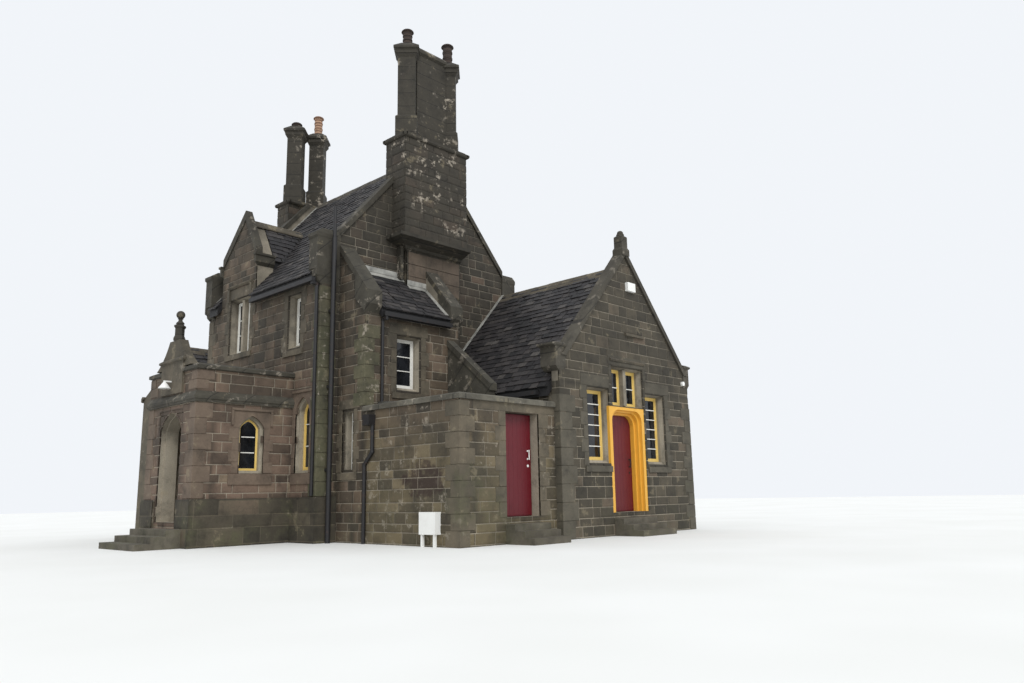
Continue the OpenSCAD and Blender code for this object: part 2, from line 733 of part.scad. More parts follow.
// Space taken by the wing roof behind its gable parapet
module above_wing_eaves() {
  along_y(-wing_l + parapet_t, wing_in + 1) polygon([
    [wing_x - 1, wing_roof_h(wing_x - 1) - roof_v], [wing_mid, wing_ridge_h - roof_v],
    [wing_x1 + 1, wing_roof_h(wing_x1 + 1) - roof_v], [wing_x1 + 1, wing_ridge_h],
    [wing_x - 1, wing_ridge_h]]);
}
module wing_window(x) {
  translate([0, -wing_l, 0])
    splayed(x, x + wing_window_w, sill_h, sill_h + wing_window_h, wing_t);
}
module wing_front_wall_left() {
  color(stone) difference() {
    box(wing_x, surround_x0, -wing_l, wing_in, 0, wing_gable_h);
    wing_window(wing_window_x[0]);
    above_wing_eaves();
  }
}
module wing_front_wall_right() {
  color(stone) {
    difference() {
      box(surround_x1, wing_x1, -wing_l, wing_in, 0, wing_gable_h);
      wing_window(wing_window_x[1]);
      above_wing_eaves();
    }
    box(surround_x0, surround_x1, -wing_l, wing_in, 0, floor_h);
  }
}
module wing_gable_profile(rise) {
  polygon([[wing_x, wing_gable_h], [wing_x, wing_roof_h(wing_x) + rise], [wing_mid, wing_ridge_h + rise],
    [wing_x1, wing_roof_h(wing_x1) + rise], [wing_x1, wing_gable_h]]);
}
module wing_front_gable() {
  color(stone) difference() {
    union() {
      along_y(-wing_l, -wing_l + parapet_t) wing_gable_profile(parapet_rise);
      along_y(-wing_l, wing_in) intersection() {
        polygon([[wing_x, wing_roof_h(wing_x) - roof_v], [wing_mid, wing_ridge_h - roof_v],
          [wing_x1, wing_roof_h(wing_x1) - roof_v]]);
        translate([wing_x, wing_gable_h]) square([wing_w, wing_ridge_h]);
      }
      box(surround_x0, surround_x1, -wing_l, wing_in, surround_h, wing_gable_h);
    }
    translate([0, -wing_l, 0])
      two_lights(wing_lights_x, wing_lights_w, wing_lights_z, wing_lights_h, wing_t);
  }
}
module wing_side_profile() {
  polygon([[wing_x, 0], [wing_x + wing_t, 0],
    [wing_x + wing_t, wing_roof_h(wing_x + wing_t) - roof_v],
    [wing_x, wing_roof_h(wing_x) - roof_v]]);
}
module wing_left_wall() {
  color(stone) along_y(wing_in, -breast_p) wing_side_profile();
}
module wing_right_wall() {
  color(stone) difference() {
    translate([2 * wing_mid, 0, 0]) mirror([1, 0, 0]) along_y(wing_in, -wing_t)
      wing_side_profile();
    translate([wing_x1, 0, 0]) mirror([1, 0, 0]) swapped()
      splayed(-2600, -2600 + wing_window_w, sill_h, sill_h + 1240, wing_t);
  }
}
module wing_rear_wall() {
  color(stone) along_y(-wing_t, 0) polygon([[main_w, 0], [wing_x1, 0],
    [wing_x1, wing_roof_h(wing_x1) - roof_v], [main_w, wing_roof_h(main_w) - roof_v]]);
}
module wing_roof() {
  xa = wing_x - eave_out;
  xb = wing_x1 + eave_out;
  color(slate) difference() {
    along_y(-wing_l + parapet_t, 0) polygon([[xa, wing_roof_h(xa)],
      [xa, wing_roof_h(xa) - roof_v], [wing_mid, wing_ridge_h - roof_v],
      [xb, wing_roof_h(xb) - roof_v], [xb, wing_roof_h(xb)], [wing_mid, wing_ridge_h]]);
    box(0, wing_x + 60, -ext_l - 140, 1, 0, ridge_h);
    box(0, breast_x1, -breast_p, 1, 0, ridge_h);
  }
}
// Corbelled block with a weathered cap at the foot of the wing gable
module wing_kneeler(out) {
  z = wing_roof_h(wing_x) + 800;
  moulded_block(wing_x, wing_x + 300, 0, wing_t, [[0, z - 620], [0.5, z - 520],
    [0.5, z - 110], [1, z - 80], [1, z - 40], [0, z]], [out, 0, coping_out, 0]);
}
// Square post with a ringed dome on the point of the wing gable
module wing_finial() {
  z = wing_ridge_h + parapet_rise;
  y = -wing_l + 60;
  difference() {
    moulded_block(wing_mid - 115, wing_mid + 115, y - 115, y + 115, [[30, z], [30, z + 150],
      [0, z + 210], [0, z + 480], [-30, z + 510]]);
    along_y(-wing_l, -wing_l + parapet_t) wing_gable_profile(parapet_rise);
  }
  translate([wing_mid, y, z + 510]) {
    cylinder(45, 95, 95);
    cylinder(80, 75, 75);
    translate([0, 0, 80]) scale([1, 1, 0.8]) intersection() {
      sphere(75);
      translate([-100, -100, 0]) cube(200);
    }
  }
}
module wing_coping() {
  color(stone) {
    wing_finial();
    along_y(-wing_l - coping_out, -wing_l + parapet_t + 30) difference() {
      wing_gable_profile(parapet_rise + coping_v);
      wing_gable_profile(parapet_rise);
      square([wing_x1 * 2, wing_roof_h(wing_x + 200) + parapet_rise]);
    }
    for (m = [0, 1]) translate([m * 2 * wing_mid, 0, 0]) mirror([m, 0, 0]) difference() {
      translate([0, -wing_l, 0]) wing_kneeler(m == 0 ? 240 : 110);
      along_y(-wing_l, -wing_l + parapet_t) wing_gable_profile(parapet_rise);
      along_y(-wing_l, wing_in) polygon([[0, 0], [wing_mid, 0], [wing_mid, wing_ridge_h],
        [wing_x - eave_out, wing_roof_h(wing_x - eave_out)],
        [wing_x - eave_out, wing_roof_h(wing_x)- 200], [0, 0]]);
      along_y(-wing_l - 500, wing_in) polygon([[wing_x + 200, 0], [wing_mid, 0],
        [wing_mid, ridge_h], [wing_x + 200, ridge_h]]);
    }
  }
}
// Drip mouldings over the bay window and the two wing lights, and the ledge in the gable
module hood_moulds() {
  z = main_roof(0) + 250;
  y0 = bay_lights_y - 130;
  y1 = bay_lights_y + bay_lights_w + 130;
  wz = wing_lights_z + wing_lights_h + 150;
  color(stone) {
    along_y(y0, y1) polygon([[0, z], [-40, z], [-80, z + 40], [-80, z + 60], [0, z + 110]]);
    for (y = [y0, y1 - 80]) box(-60, 0, y, y + 80, z - 350, z);
    along_x(wing_lights_x - 110, wing_lights_x + wing_lights_w + 110) polygon([[-wing_l, wz],
      [-wing_l - 40, wz], [-wing_l - 60, wz + 40], [-wing_l, wz + 90]]);
    box(wing_mid - 120, wing_mid + 620, -wing_l - 70, -wing_l, wz + 660, wz + 720);
  }
}
// Small gabled outhouse against the far gable
module outhouse_walls() {
  t = ext_t;
  y1 = main_l + outhouse_l;
  ym = main_l + outhouse_l / 2;
  e = outhouse_ridge_h - pitch * outhouse_l / 2 - roof_v;
  color(stone) difference() {
    along_x(0, outhouse_w) polygon([[main_l, 0], [y1, 0], [y1, e],
      [ym, outhouse_ridge_h - roof_v], [main_l, e]]);
    along_x(t, outhouse_w - t) polygon([[main_l - 1, floor_h - floor_t],
      [y1 - t, floor_h - floor_t], [y1 - t, e + t * pitch], [ym, outhouse_ridge_h - roof_v],
      [main_l - 1, e - pitch]]);
    translate([0, y1, 0]) mirror([0, 1, 0]) splayed(outhouse_w / 2 - 250,
      outhouse_w / 2 + 250, sill_h, sill_h + 900, t);
  }
}
module outhouse_roof() {
  ym = main_l + outhouse_l / 2;
  y1 = main_l + outhouse_l + 100;
  z = outhouse_ridge_h;
  r = pitch * (outhouse_l / 2 + 100);
  color(slate) along_x(-80, outhouse_w + 80) polygon([[main_l, z - r + 100 * pitch],
    [main_l, z - r + 100 * pitch - roof_v], [ym, z - roof_v], [y1, z - r - roof_v],
    [y1, z - r], [ym, z]]);
}
// Depressed arch of the painted surround, wider by out on each side
module surround_arch(out) {
  r = 260;
  x0 = wing_door_mid - wing_door_w / 2 - out;
  x1 = wing_door_mid + wing_door_w / 2 + out;
  z = surround_h - 170 + out;
  translate([x0, floor_h - 1]) square([x1 - x0, z - r - floor_h + 1]);
  hull() for (x = [x0 + r, x1 - r]) intersection() {
    translate([x, z - r]) circle(r, $fn = 96);
    translate([x0, z - r]) square([x1 - x0, r]);
  }
}
module wing_door_surround() {
  y1 = wing_leaf_y - 6;
  color("goldenrod") {
    difference() {
      box(surround_x0, surround_x1, -wing_l, y1, floor_h, surround_h);
      along_y(-wing_l - 1, y1 + 1) surround_arch(0);
      along_y(-wing_l - 1, -wing_l + 170) surround_arch(50);
      along_y(-wing_l - 1, -wing_l + 80) surround_arch(100);
    }
    for (x = [surround_x0, surround_x1 - lining_w])
      box(x, x + lining_w, y1, wing_in, floor_h, surround_h);
  }
}

// Porch arch outline, wider and higher by n mouldings
module porch_arch(n) {
  arch_outline(porch_mid, arch_w + 2 * n * arch_order, floor_h, arch_spring_h,
    arch_rise + n * arch_order);
}
module porch_front_wall() {
  f = -porch_p;
  w = arch_w + 4 * arch_order;
  color(ashlar) difference() {
    box(f, f + porch_t, porch_y, porch_y1, 0, porch_h);
    along_x(f - 1, f + porch_t + 1) porch_arch(0);
    along_x(f - 1, f + 120) porch_arch(1);
    along_x(f - 1, f + 50) difference() {
      translate([porch_mid - w / 2, floor_h])
        square([w, arch_spring_h + arch_rise + 2 * arch_order - floor_h]);
      translate([porch_mid - w / 2, 0]) square([w, arch_spring_h]);
      porch_arch(2);
    }
  }
}
module porch_side_walls() {
  x = porch_window_x;
  color(ashlar) for (m = [0, 1]) translate([0, m * 2 * porch_mid, 0]) mirror([0, m, 0])
    difference() {
      box(-porch_p + porch_t, 0, porch_y, porch_y + porch_t, 0, porch_h);
      along_y(porch_y - 1, porch_y + porch_t + 1)
        arch_outline(x, pointed_w, pointed_z, pointed_z + 900, 200);
      along_y(porch_y - 1, porch_y + 70) arch_outline(x, pointed_w + 2 * splay,
        pointed_z - splay, pointed_z + 900, 200 + splay);
    }
}
module porch_string_and_coping() {
  z = porch_h - 690;
  color(stone) difference() {
    union() {
      moulded_block(-porch_p, 0, porch_y, porch_y1, [[0, z], [50, z], [60, z + 40],
        [80, z + 60], [80, z + 120], [0, z + 240]], [1, 0, 1, 1]);
      moulded_block(-porch_p, 0, porch_y, porch_y1, [[0, porch_h - 20], [60, porch_h],
        [60, porch_h + 70], [-40, porch_h + 120]], [1, 0, 1, 1]);
    }
    box(-porch_p, 1, porch_y, porch_y1, 0, porch_h);
    box(-porch_p + porch_t, 1, porch_y + porch_t, porch_y1 - porch_t, 0, 2 * porch_h);
    box(-porch_p - 200, -porch_p + porch_t, porch_mid - 525, porch_mid + 525, porch_h - 100,
      2 * porch_h);
    box(buttress_x0, buttress_x1, porch_y1, porch_y1 + buttress_w, 0, porch_h - 30);
  }
}
// Outline of the shaped gable, with hollow flanks and a flat crown
module shaped_gable_outline() {
  z0 = porch_h + 120;
  difference() {
    polygon([[porch_mid - 525, porch_h], [porch_mid + 525, porch_h], [porch_mid + 525, z0],
      [porch_mid + 860, z0], [porch_mid + 250, porch_gable_h], [porch_mid - 250, porch_gable_h],
      [porch_mid - 860, z0], [porch_mid - 525, z0]]);
    for (s = [-1, 1]) translate([porch_mid + s * 1630, porch_gable_h + 770])
      circle(1580, $fn = 120);
  }
}
module porch_shaped_gable() {
  f = -porch_p;
  color(stone) {
    along_x(f - 30, f + 150) shaped_gable_outline();
    box(f - 60, f - 30, porch_mid - 525, porch_mid + 525, porch_h - 450, porch_h + 220);
    box(f - 30, f, porch_mid - 525, porch_mid + 525, porch_h - 450, porch_h);
    moulded_block(f - 30, f, porch_mid - 525, porch_mid + 525, [[30, porch_h + 220],
      [70, porch_h + 250], [70, porch_h + 290], [0, porch_h + 340]], [1, 0, 1, 1]);
  }
}
module porch_roof() {
  z = porch_h - 530;
  color("gray") along_x(-porch_p + porch_t, 0) polygon([[porch_y + porch_t, z],
    [porch_y1 - porch_t, z], [porch_y1 - porch_t, z + 160], [porch_mid, z + 240],
    [porch_y + porch_t, z + 160]]);
}
// Turned finial with a ringed neck and a ball on a square post
module porch_finial() {
  z = porch_gable_h;
  color(stone) translate([-porch_p + 60, porch_mid, 0]) {
    rotate(45) moulded_block(-75, 75, -75, 75, [[20, z], [20, z + 60], [0, z + 120],
      [0, z + 280], [20, z + 310], [20, z + 340], [-20, z + 370]]);
    translate([0, 0, z + 370]) rotate_extrude() polygon([[0, 0], [75, 0], [90, 20], [75, 45],
      [45, 75], [40, 110], [60, 125], [40, 140], [0, 140]]);
    translate([0, 0, z + 585]) sphere(92);
  }
}
// Raking buttress wall beside the porch
module porch_buttress() {
  y1 = porch_y1 + buttress_w;
  z0 = porch_h - 380;
  z1 = porch_h - 30;
  color(stone) {
    along_x(buttress_x0, buttress_x1) polygon([[porch_y1, 0], [y1, 0], [y1, z0 - 80],
      [y1, z0], [porch_y1, z1]]);
    along_x(buttress_x0 - 40, buttress_x1 + 40) polygon([[y1, z0 - 80], [y1 + 60, z0 - 60],
      [y1 + 60, z0 + 20], [y1, z0 + 60], [y1 - 90, z0 + 50], [y1 - 90, z0], [y1, z0]]);
  }
}
module flight(n, w, tread) {
  for (i = [0:n - 1])
    box(0, (n - i) * tread, -w / 2, w / 2, i * floor_h / (n + 1), (i + 1) * floor_h / (n + 1));
}
module entrance_steps() {
  color("gray") {
    translate([-porch_p - plinth_p, porch_mid, 0]) rotate(180) flight(3, 1800, 300);
    box(-porch_p - plinth_p, -porch_p, porch_mid - arch_w / 2 - 2 * arch_order,
      porch_mid + arch_w / 2 + 2 * arch_order, 0, floor_h * 3 / 4);
    translate([lean_door_x + lean_door_w / 2, -lean_l, 0]) rotate(-90) flight(3, 1050, 250);
    translate([wing_door_mid, -wing_l, 0]) rotate(-90) flight(3, 1300, 250);
  }
}

// Window frame in a wall facing -Y, its corner at x, z and its front at y
module frame(x, y, z, w, h) {
  b = frame_w;
  difference() {
    box(x, x + w, y, y + frame_t, z, z + h);
    box(x + b, x + w - b, y - 1, y + frame_t + 1, z + b, z + h - b);
  }
}
module pane(x, y, z, w, h) {
  b = frame_w;
  box(x + b, x + w - b, y + 20, y + 32, z + b, z + h - b);
}
module pointed_frame(mid, z1, r) {
  difference() {
    arch_outline(mid, pointed_w, pointed_z, z1, r);
    arch_outline(mid, pointed_w - 2 * frame_w, pointed_z + frame_w, z1, r - frame_w);
  }
}
module porch_side_glazing(t) {
  for (m = [0, 1]) translate([0, m * 2 * porch_mid, 0]) mirror([0, m, 0])
    along_y(porch_y + 150, porch_y + 150 + t) children();
}
// The rectangular windows, each drawn as a frame or as its panes
module each_window(as_frame) {
  module one(x, y, z, w, h) {
    if (as_frame) frame(x, y, z, w, h);
    else pane(x, y, z, w, h);
  }
  module pair(x, y, z, w, h) {
    light = (w - mullion_w) / 2;
    one(x, y, z, light, h);
    one(x + light + mullion_w, y, z, light, h);
  }
  y = -wing_l + frame_in;
  swapped() {
    one(850, frame_in, upper_sill_h, upper_window_w, upper_window_h);
    pair(bay_lights_y, frame_in, bay_sill_h, bay_lights_w, bay_lights_h);
    one(-600, ext_x + frame_in, sill_h - 120, 300, 1230);
  }
  one(ext_window[0], -ext_l + frame_in, ext_window[2], ext_window[1] - ext_window[0],
    ext_window[3] - ext_window[2]);
  for (x = wing_window_x) one(x, y, sill_h, wing_window_w, wing_window_h);
  pair(wing_lights_x, y, wing_lights_z, wing_lights_w, wing_lights_h);
  translate([main_w, 0, 0]) mirror([1, 0, 0]) swapped()
    for (v = [1300, main_l - 1300 - upper_window_w]) {
      one(v, frame_in, upper_sill_h, upper_window_w, upper_window_h);
      one(v, frame_in, sill_h, upper_window_w, wing_window_h);
    }
  translate([wing_x1, 0, 0]) mirror([1, 0, 0]) swapped()
    one(-2600, frame_in, sill_h, wing_window_w, 1240);
  translate([0, main_l + outhouse_l, 0]) mirror([0, 1, 0])
    one(outhouse_w / 2 - 250, frame_in, sill_h, 500, 900);
}
module window_frames() {
  z1 = pointed_z + pointed_h - pointed_rise;
  color("white") {
    each_window(true);
    for (y = pointed_y) along_x(frame_in - 20, frame_in + 30)
      pointed_frame(y, z1, pointed_rise);
    porch_side_glazing(frame_t) pointed_frame(porch_window_x, pointed_z + 900, 200);
  }
}
module window_glass() {
  b = frame_w;
  w = pointed_w - 2 * b;
  z1 = pointed_z + pointed_h - pointed_rise;
  color("black") {
    each_window(false);
    for (y = pointed_y) along_x(frame_in, frame_in + 12)
      arch_outline(y, w, pointed_z + b, z1, pointed_rise - b);
    porch_side_glazing(12) arch_outline(porch_window_x, w, pointed_z + b, pointed_z + 900,
      200 - b);
  }
}
module downpipe(x, y, z0, z1, r) {
  translate([x, y, z0]) cylinder(z1 - z0, r, r);
}
// Open channel along Y whose back is at x, between y0 and y1, with its rim at z
module gutter(x, y0, y1, z) {
  w = gutter_w;
  difference() {
    box(x - w, x, y0, y1, z - w, z);
    box(x - w + 12, x - 12, y0 + 12, y1 - 12, z - w + 12, z + 1);
  }
}
module gutters_and_pipes() {
  z = main_roof(-eave_out) - 110;
  ez = ext_roof_h(-ext_l - 110) - 80;
  hx = ext_x - 50;
  color(iron) {
    gutter(-eave_out, 40, bay_y0 - 100, z);
    box(-eave_out - 70, -20, outlet_y - 40, outlet_y + 40, z - gutter_w - 60, z - gutter_w);
    downpipe(-55, outlet_y, plinth_h + 20, z - gutter_w - 60, 40);
    for (h = [1500, 3300, 5000]) box(-60, 0, 60, 120, h, h + 60);
    downpipe(210, -165, 0, 6700, 55);
    downpipe(210, -165, 6700, 7450, 40);
    for (h = [1500, 3300, 5000]) box(185, 235, -165, 0, h, h + 60);
    gutter(wing_x - eave_out, -wing_l + wing_t + 60, half_gable_y - 60,
      wing_roof_h(wing_x - eave_out) - 60);
    translate([0, -ext_l - 110, 0]) swapped() gutter(0, ext_x + ext_t + 20,
      wing_x - ext_t - 20, ez);
    downpipe(ext_x + ext_t + 80, -ext_l - 45, lean_h + 230, ez - gutter_w - 40, 35);
    box(ext_x + ext_t + 50, ext_x + ext_t + 110, -ext_l - 200, -ext_l - 20,
      ez - gutter_w - 90, ez - gutter_w - 40);
    box(ext_x + ext_t + 50, ext_x + ext_t + 110, -ext_l - 200, -ext_l - 130,
      ez - gutter_w - 40, ez - gutter_w);
    for (h = [3200, 4300]) box(ext_x + ext_t + 60, ext_x + ext_t + 100, -ext_l - 45, -ext_l,
      h, h + 50);
    box(ext_x - 180, ext_x, -1420, -1200, 2400, 2620);
    downpipe(hx, -1380, 1850, 2410, 40);
    for (p = [[-1380, 1850], [-1120, 1600]]) translate([hx, p[0], p[1]]) sphere(44);
    translate([hx, -1120, 1600]) rotate([46, 0, 0]) cylinder(360, 40, 40);
    downpipe(hx, -1120, 0, 1600, 40);
    for (h = [700, 1400]) box(hx - 30, ext_x, -1150, -1090, h, h + 60);
  }
}
module wall_lamps() {
  f = -wing_l;
  color("white") {
    box(wing_mid + 10, wing_mid + 320, f - 90, f, wing_ridge_h - 580, wing_ridge_h - 370);
    translate([wing_x1 - 260, f - 70, 3620]) rotate([-90, 0, 0]) cylinder(70, 55, 55);
    box(-porch_p - 220, -porch_p - 60, porch_mid - 20, porch_mid + 20, porch_h - 190,
      porch_h - 160);
    translate([-porch_p - 200, porch_mid, porch_h - 330]) cylinder(140, 130, 25);
  }
}
// Meter box on the lean-to wall with its two legs
module meter_box() {
  color("white") {
    box(ext_x - 150, ext_x, -3460, -3000, 230, 640);
    for (y = [-3430, -3080]) box(ext_x - 130, ext_x - 80, y, y + 50, 0, 230);
  }
}

facade_wall();
rear_wall();
near_gable_wall();
far_gable_wall();
plinth_course();
ground_floor();
upper_floor();
main_roof_porch_side();
main_roof_rear_side();
bay_roof();
near_gable_coping();
far_gable_coping();
bay_gable_coping();
hood_moulds();
near_chimney_breast();
near_chimney_stack();
far_chimney_breast();
far_chimney_stack();
near_chimney_shafts();
far_chimney_shafts();
chimney_pots();
extension_front_wall();
extension_side_walls();
extension_roof();
extension_copings();
raking_half_gable();
lean_to_side_wall();
lean_to_wall_beside_door();
lean_to_door_lintel();
lean_to_roof();
lean_to_coping();
lean_to_door();
wing_front_wall_left();
wing_front_wall_right();
wing_front_gable();
wing_left_wall();
wing_right_wall();
wing_rear_wall();
wing_roof();
wing_coping();
outhouse_walls();
outhouse_roof();
wing_door_surround();
wing_door();
door_hinges();
porch_front_wall();
porch_side_walls();
porch_string_and_coping();
porch_shaped_gable();
porch_roof();
porch_finial();
porch_buttress();
entrance_steps();
window_frames();
window_glass();
gutters_and_pipes();
wall_lamps();
meter_box();
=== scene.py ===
"""Looks of the stone station house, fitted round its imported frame."""

import math
import random

import bmesh
import bpy
from mathutils import Matrix, Vector


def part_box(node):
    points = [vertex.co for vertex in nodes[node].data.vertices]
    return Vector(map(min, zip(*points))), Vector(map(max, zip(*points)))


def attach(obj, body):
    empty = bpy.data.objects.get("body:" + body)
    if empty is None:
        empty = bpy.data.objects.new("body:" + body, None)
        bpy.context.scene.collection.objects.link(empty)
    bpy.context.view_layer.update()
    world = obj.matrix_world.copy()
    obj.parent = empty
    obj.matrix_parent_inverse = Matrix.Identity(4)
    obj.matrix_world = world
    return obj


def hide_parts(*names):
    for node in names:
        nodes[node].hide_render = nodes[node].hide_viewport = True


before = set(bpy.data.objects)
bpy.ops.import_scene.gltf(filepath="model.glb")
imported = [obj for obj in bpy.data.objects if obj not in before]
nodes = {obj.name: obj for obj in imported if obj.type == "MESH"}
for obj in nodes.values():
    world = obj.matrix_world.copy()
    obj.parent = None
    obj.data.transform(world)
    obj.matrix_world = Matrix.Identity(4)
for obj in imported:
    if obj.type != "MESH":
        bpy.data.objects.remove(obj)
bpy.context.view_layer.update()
HOUSE = "station_house"

# Sizes of the solids that the pieces below are set against, in metres
MAIN_W, MAIN_L, RIDGE, PITCH = 6.2, 5.3, 9.6, 1.15
WING_X, WING_W, WING_L, WING_RIDGE = 3.2, 5.1, 4.13, 6.25
EXT_X, EXT_L, EXT_TOP, EXT_PITCH = 0.48, 1.01, 6.1, 0.97
LEAN_L, FLOOR_H = 3.98, 0.5
PORCH_P, PORCH_Y, PORCH_W = 2.24, 1.0, 2.25
SILL, UPPER_SILL, BAY_SILL, POINTED_SILL = 1.64, 4.4, 4.6, 1.54
TALL_HEAD, UPPER_HEAD, BAY_HEAD = 3.2, 5.55, 5.95
BAY_MID, BAY_Y0, BAY_Y1, BAY_TOP, BAY_FOOT = 3.55, 2.93, 4.66, 8.0, 6.9
STACK_X0, STACK_X1, BREAST_OUT = 1.95, 3.98, 0.2
OUT_W, OUT_L, OUT_RIDGE = 1.87, 3.0, 5.1
PLINTH_H, PLINTH_OUT = 0.97, 0.06
EAVE_OUT, FRAME_IN, SPLAY = 0.13, 0.2, 0.06
WING_X1 = WING_X + WING_W
WING_MID = WING_X + WING_W / 2
OUT_END, OUT_MID = MAIN_L + OUT_L, MAIN_L + OUT_L / 2
DOOR_MID, TALL_W = 5.6, 0.72

# Camera at the photograph's place
CAM_AT = Vector((-9.4916, -14.7998, 0.9292))
YAW, PITCH_UP, ROLL = (math.radians(a) for a in (46.578, 10.956, -1.119))
forward = Vector(
    (
        math.sin(YAW) * math.cos(PITCH_UP),
        math.cos(YAW) * math.cos(PITCH_UP),
        math.sin(PITCH_UP),
    )
)
right = Vector((math.cos(YAW), -math.sin(YAW), 0))
up = right.cross(forward)
cam_data = bpy.data.cameras.new("camera")
cam_data.sensor_width = 36
cam_data.lens = 791.3 / 1024 * 36
cam_data.clip_end = 300
cam = bpy.data.objects.new("camera", cam_data)
axes = Matrix(
    (
        right * math.cos(ROLL) + up * math.sin(ROLL),
        up * math.cos(ROLL) - right * math.sin(ROLL),
        -forward,
    )
)
cam.matrix_world = Matrix.Translation(CAM_AT) @ axes.transposed().to_4x4()
bpy.context.collection.objects.link(cam)
bpy.context.scene.camera = cam
bpy.context.scene.view_settings.view_transform = "Standard"


class Val:
    """A node's output that can be used in sums."""

    def __init__(self, net, socket):
        self.net, self.socket = net, socket

    def __add__(self, other):
        return self.net.maths("ADD", self, other)

    __radd__ = __add__

    def __sub__(self, other):
        return self.net.maths("SUBTRACT", self, other)

    def __rsub__(self, other):
        return self.net.maths("SUBTRACT", other, self)

    def __mul__(self, other):
        return self.net.maths("MULTIPLY", self, other)

    __rmul__ = __mul__

    def __truediv__(self, other):
        return self.net.maths("DIVIDE", self, other)

    def floor(self):
        return self.net.maths("FLOOR", self)

    def between(self, low, high):
        """0 at low, 1 at high, smooth between them."""
        return self.net.get(
            "ShaderNodeMapRange",
            {"interpolation_type": "SMOOTHSTEP"},
            {"Value": self, "From Min": low, "From Max": high},
        )


class Net:
    """A node tree, with one method that adds any node."""

    def __init__(self, tree):
        self.tree = tree

    def add(self, kind, settings=None, inputs=None):
        node = self.tree.nodes.new(kind)
        for key, value in (settings or {}).items():
            if key == "stops":
                ramp = node.color_ramp.elements
                while len(ramp) < len(value):
                    ramp.new(0.5)
                for stop, (at, colour) in zip(ramp, value):
                    stop.position = at
                    stop.color = (*colour, 1)
            else:
                setattr(node, key, value)
        for key, value in (inputs or {}).items():
            if isinstance(value, Val):
                self.tree.links.new(value.socket, node.inputs[key])
            else:
                node.inputs[key].default_value = value
        return node

    def get(self, kind, settings=None, inputs=None, out=0):
        return Val(self, self.add(kind, settings, inputs).outputs[out])

    def maths(self, operation, *values):
        return self.get("ShaderNodeMath", {"operation": operation}, dict(enumerate(values)))

    def noise(self, at, scale, detail=3.0, rough=0.6):
        return self.get(
            "ShaderNodeTexNoise",
            {},
            {"Vector": at, "Scale": scale, "Detail": detail, "Roughness": rough},
        )

    def ramp(self, fac, stops):
        return self.get("ShaderNodeValToRGB", {"stops": stops}, {"Fac": fac})

    def mix(self, fac, a, b, how="MIX"):
        settings = {"data_type": "RGBA", "blend_type": how}
        a = (*a, 1) if isinstance(a, tuple) else a
        b = (*b, 1) if isinstance(b, tuple) else b
        return self.get("ShaderNodeMix", settings, {0: fac, 6: a, 7: b}, 2)

    def parts(self, vector):
        node = self.add("ShaderNodeSeparateXYZ", {}, {0: vector})
        return [Val(self, o) for o in node.outputs]

    def join(self, x, y, z):
        return self.get("ShaderNodeCombineXYZ", {}, {0: x, 1: y, 2: z})


def srgb(r, g, b):
    """Linear colour of a screen colour given from 0 to 255."""
    return tuple(
        c / 12.92 if c <= 0.04045 else ((c + 0.055) / 1.055) ** 2.4
        for c in (r / 255, g / 255, b / 255)
    )


def material(name, paint, rough=0.9, metallic=0.0):
    """A material whose colour, bump height and roughness come from paint(net, place)."""
    m = bpy.data.materials.new(name)
    m.use_nodes = True
    net = Net(m.node_tree)
    shader = m.node_tree.nodes["Principled BSDF"]
    shader.inputs["Roughness"].default_value = rough
    shader.inputs["Metallic"].default_value = metallic
    place = net.get("ShaderNodeTexCoord", {}, {}, 3)
    colour, height, depth, roughness = paint(net, place)
    m.node_tree.links.new(colour.socket, shader.inputs["Base Color"])
    if roughness is not None:
        m.node_tree.links.new(roughness.socket, shader.inputs["Roughness"])
    if height is not None:
        bump = net.get(
            "ShaderNodeBump", {}, {"Height": height, "Distance": depth, "Strength": 0.8}
        )
        m.node_tree.links.new(bump.socket, shader.inputs["Normal"])
    return m


def tone(net):
    """The number from 0 to 1 that each stone carries."""
    return net.get("ShaderNodeAttribute", {"attribute_name": "tone"}, {}, 2)


def weathered(net, place, colour, soot=0.0, algae=0.3, bleach=0.0):
    """Colour with soot up the wall, algae at its foot and washed patches."""
    _, _, z = net.parts(place)
    wide = net.noise(place, 0.7, 4.0)
    fine = net.noise(place, 5.0, 5.0, 0.7)
    grime = (wide + z * 0.045).between(0.45, 1.0) * 0.8 + soot
    colour = net.mix(net.maths("MINIMUM", grime, 0.95), colour, srgb(30, 27, 25))
    green = (wide * 0.6 + fine * 0.5 - z * 0.06).between(0.5, 0.75) * algae
    colour = net.mix(green, colour, srgb(84, 86, 58))
    blotch = net.noise(place, 2.4, 7.0, 0.72)
    colour = net.mix(0.3, colour, srgb(84, 78, 62))
    shades = net.ramp(blotch, [(0.32, (0.42,) * 3), (0.5, (0.95,) * 3), (0.68, (1.0,) * 3)])
    colour = net.mix(0.85, colour, shades, "MULTIPLY")
    colour = net.mix(blotch.between(0.58, 0.66) * 0.3, colour, srgb(150, 138, 112))
    if bleach:
        washed = fine.between(0.55, 0.64) * net.noise(place, 1.1, 3.0).between(0.46, 0.58) * bleach
        colour = net.mix(washed, colour, srgb(165, 155, 140))
    return colour


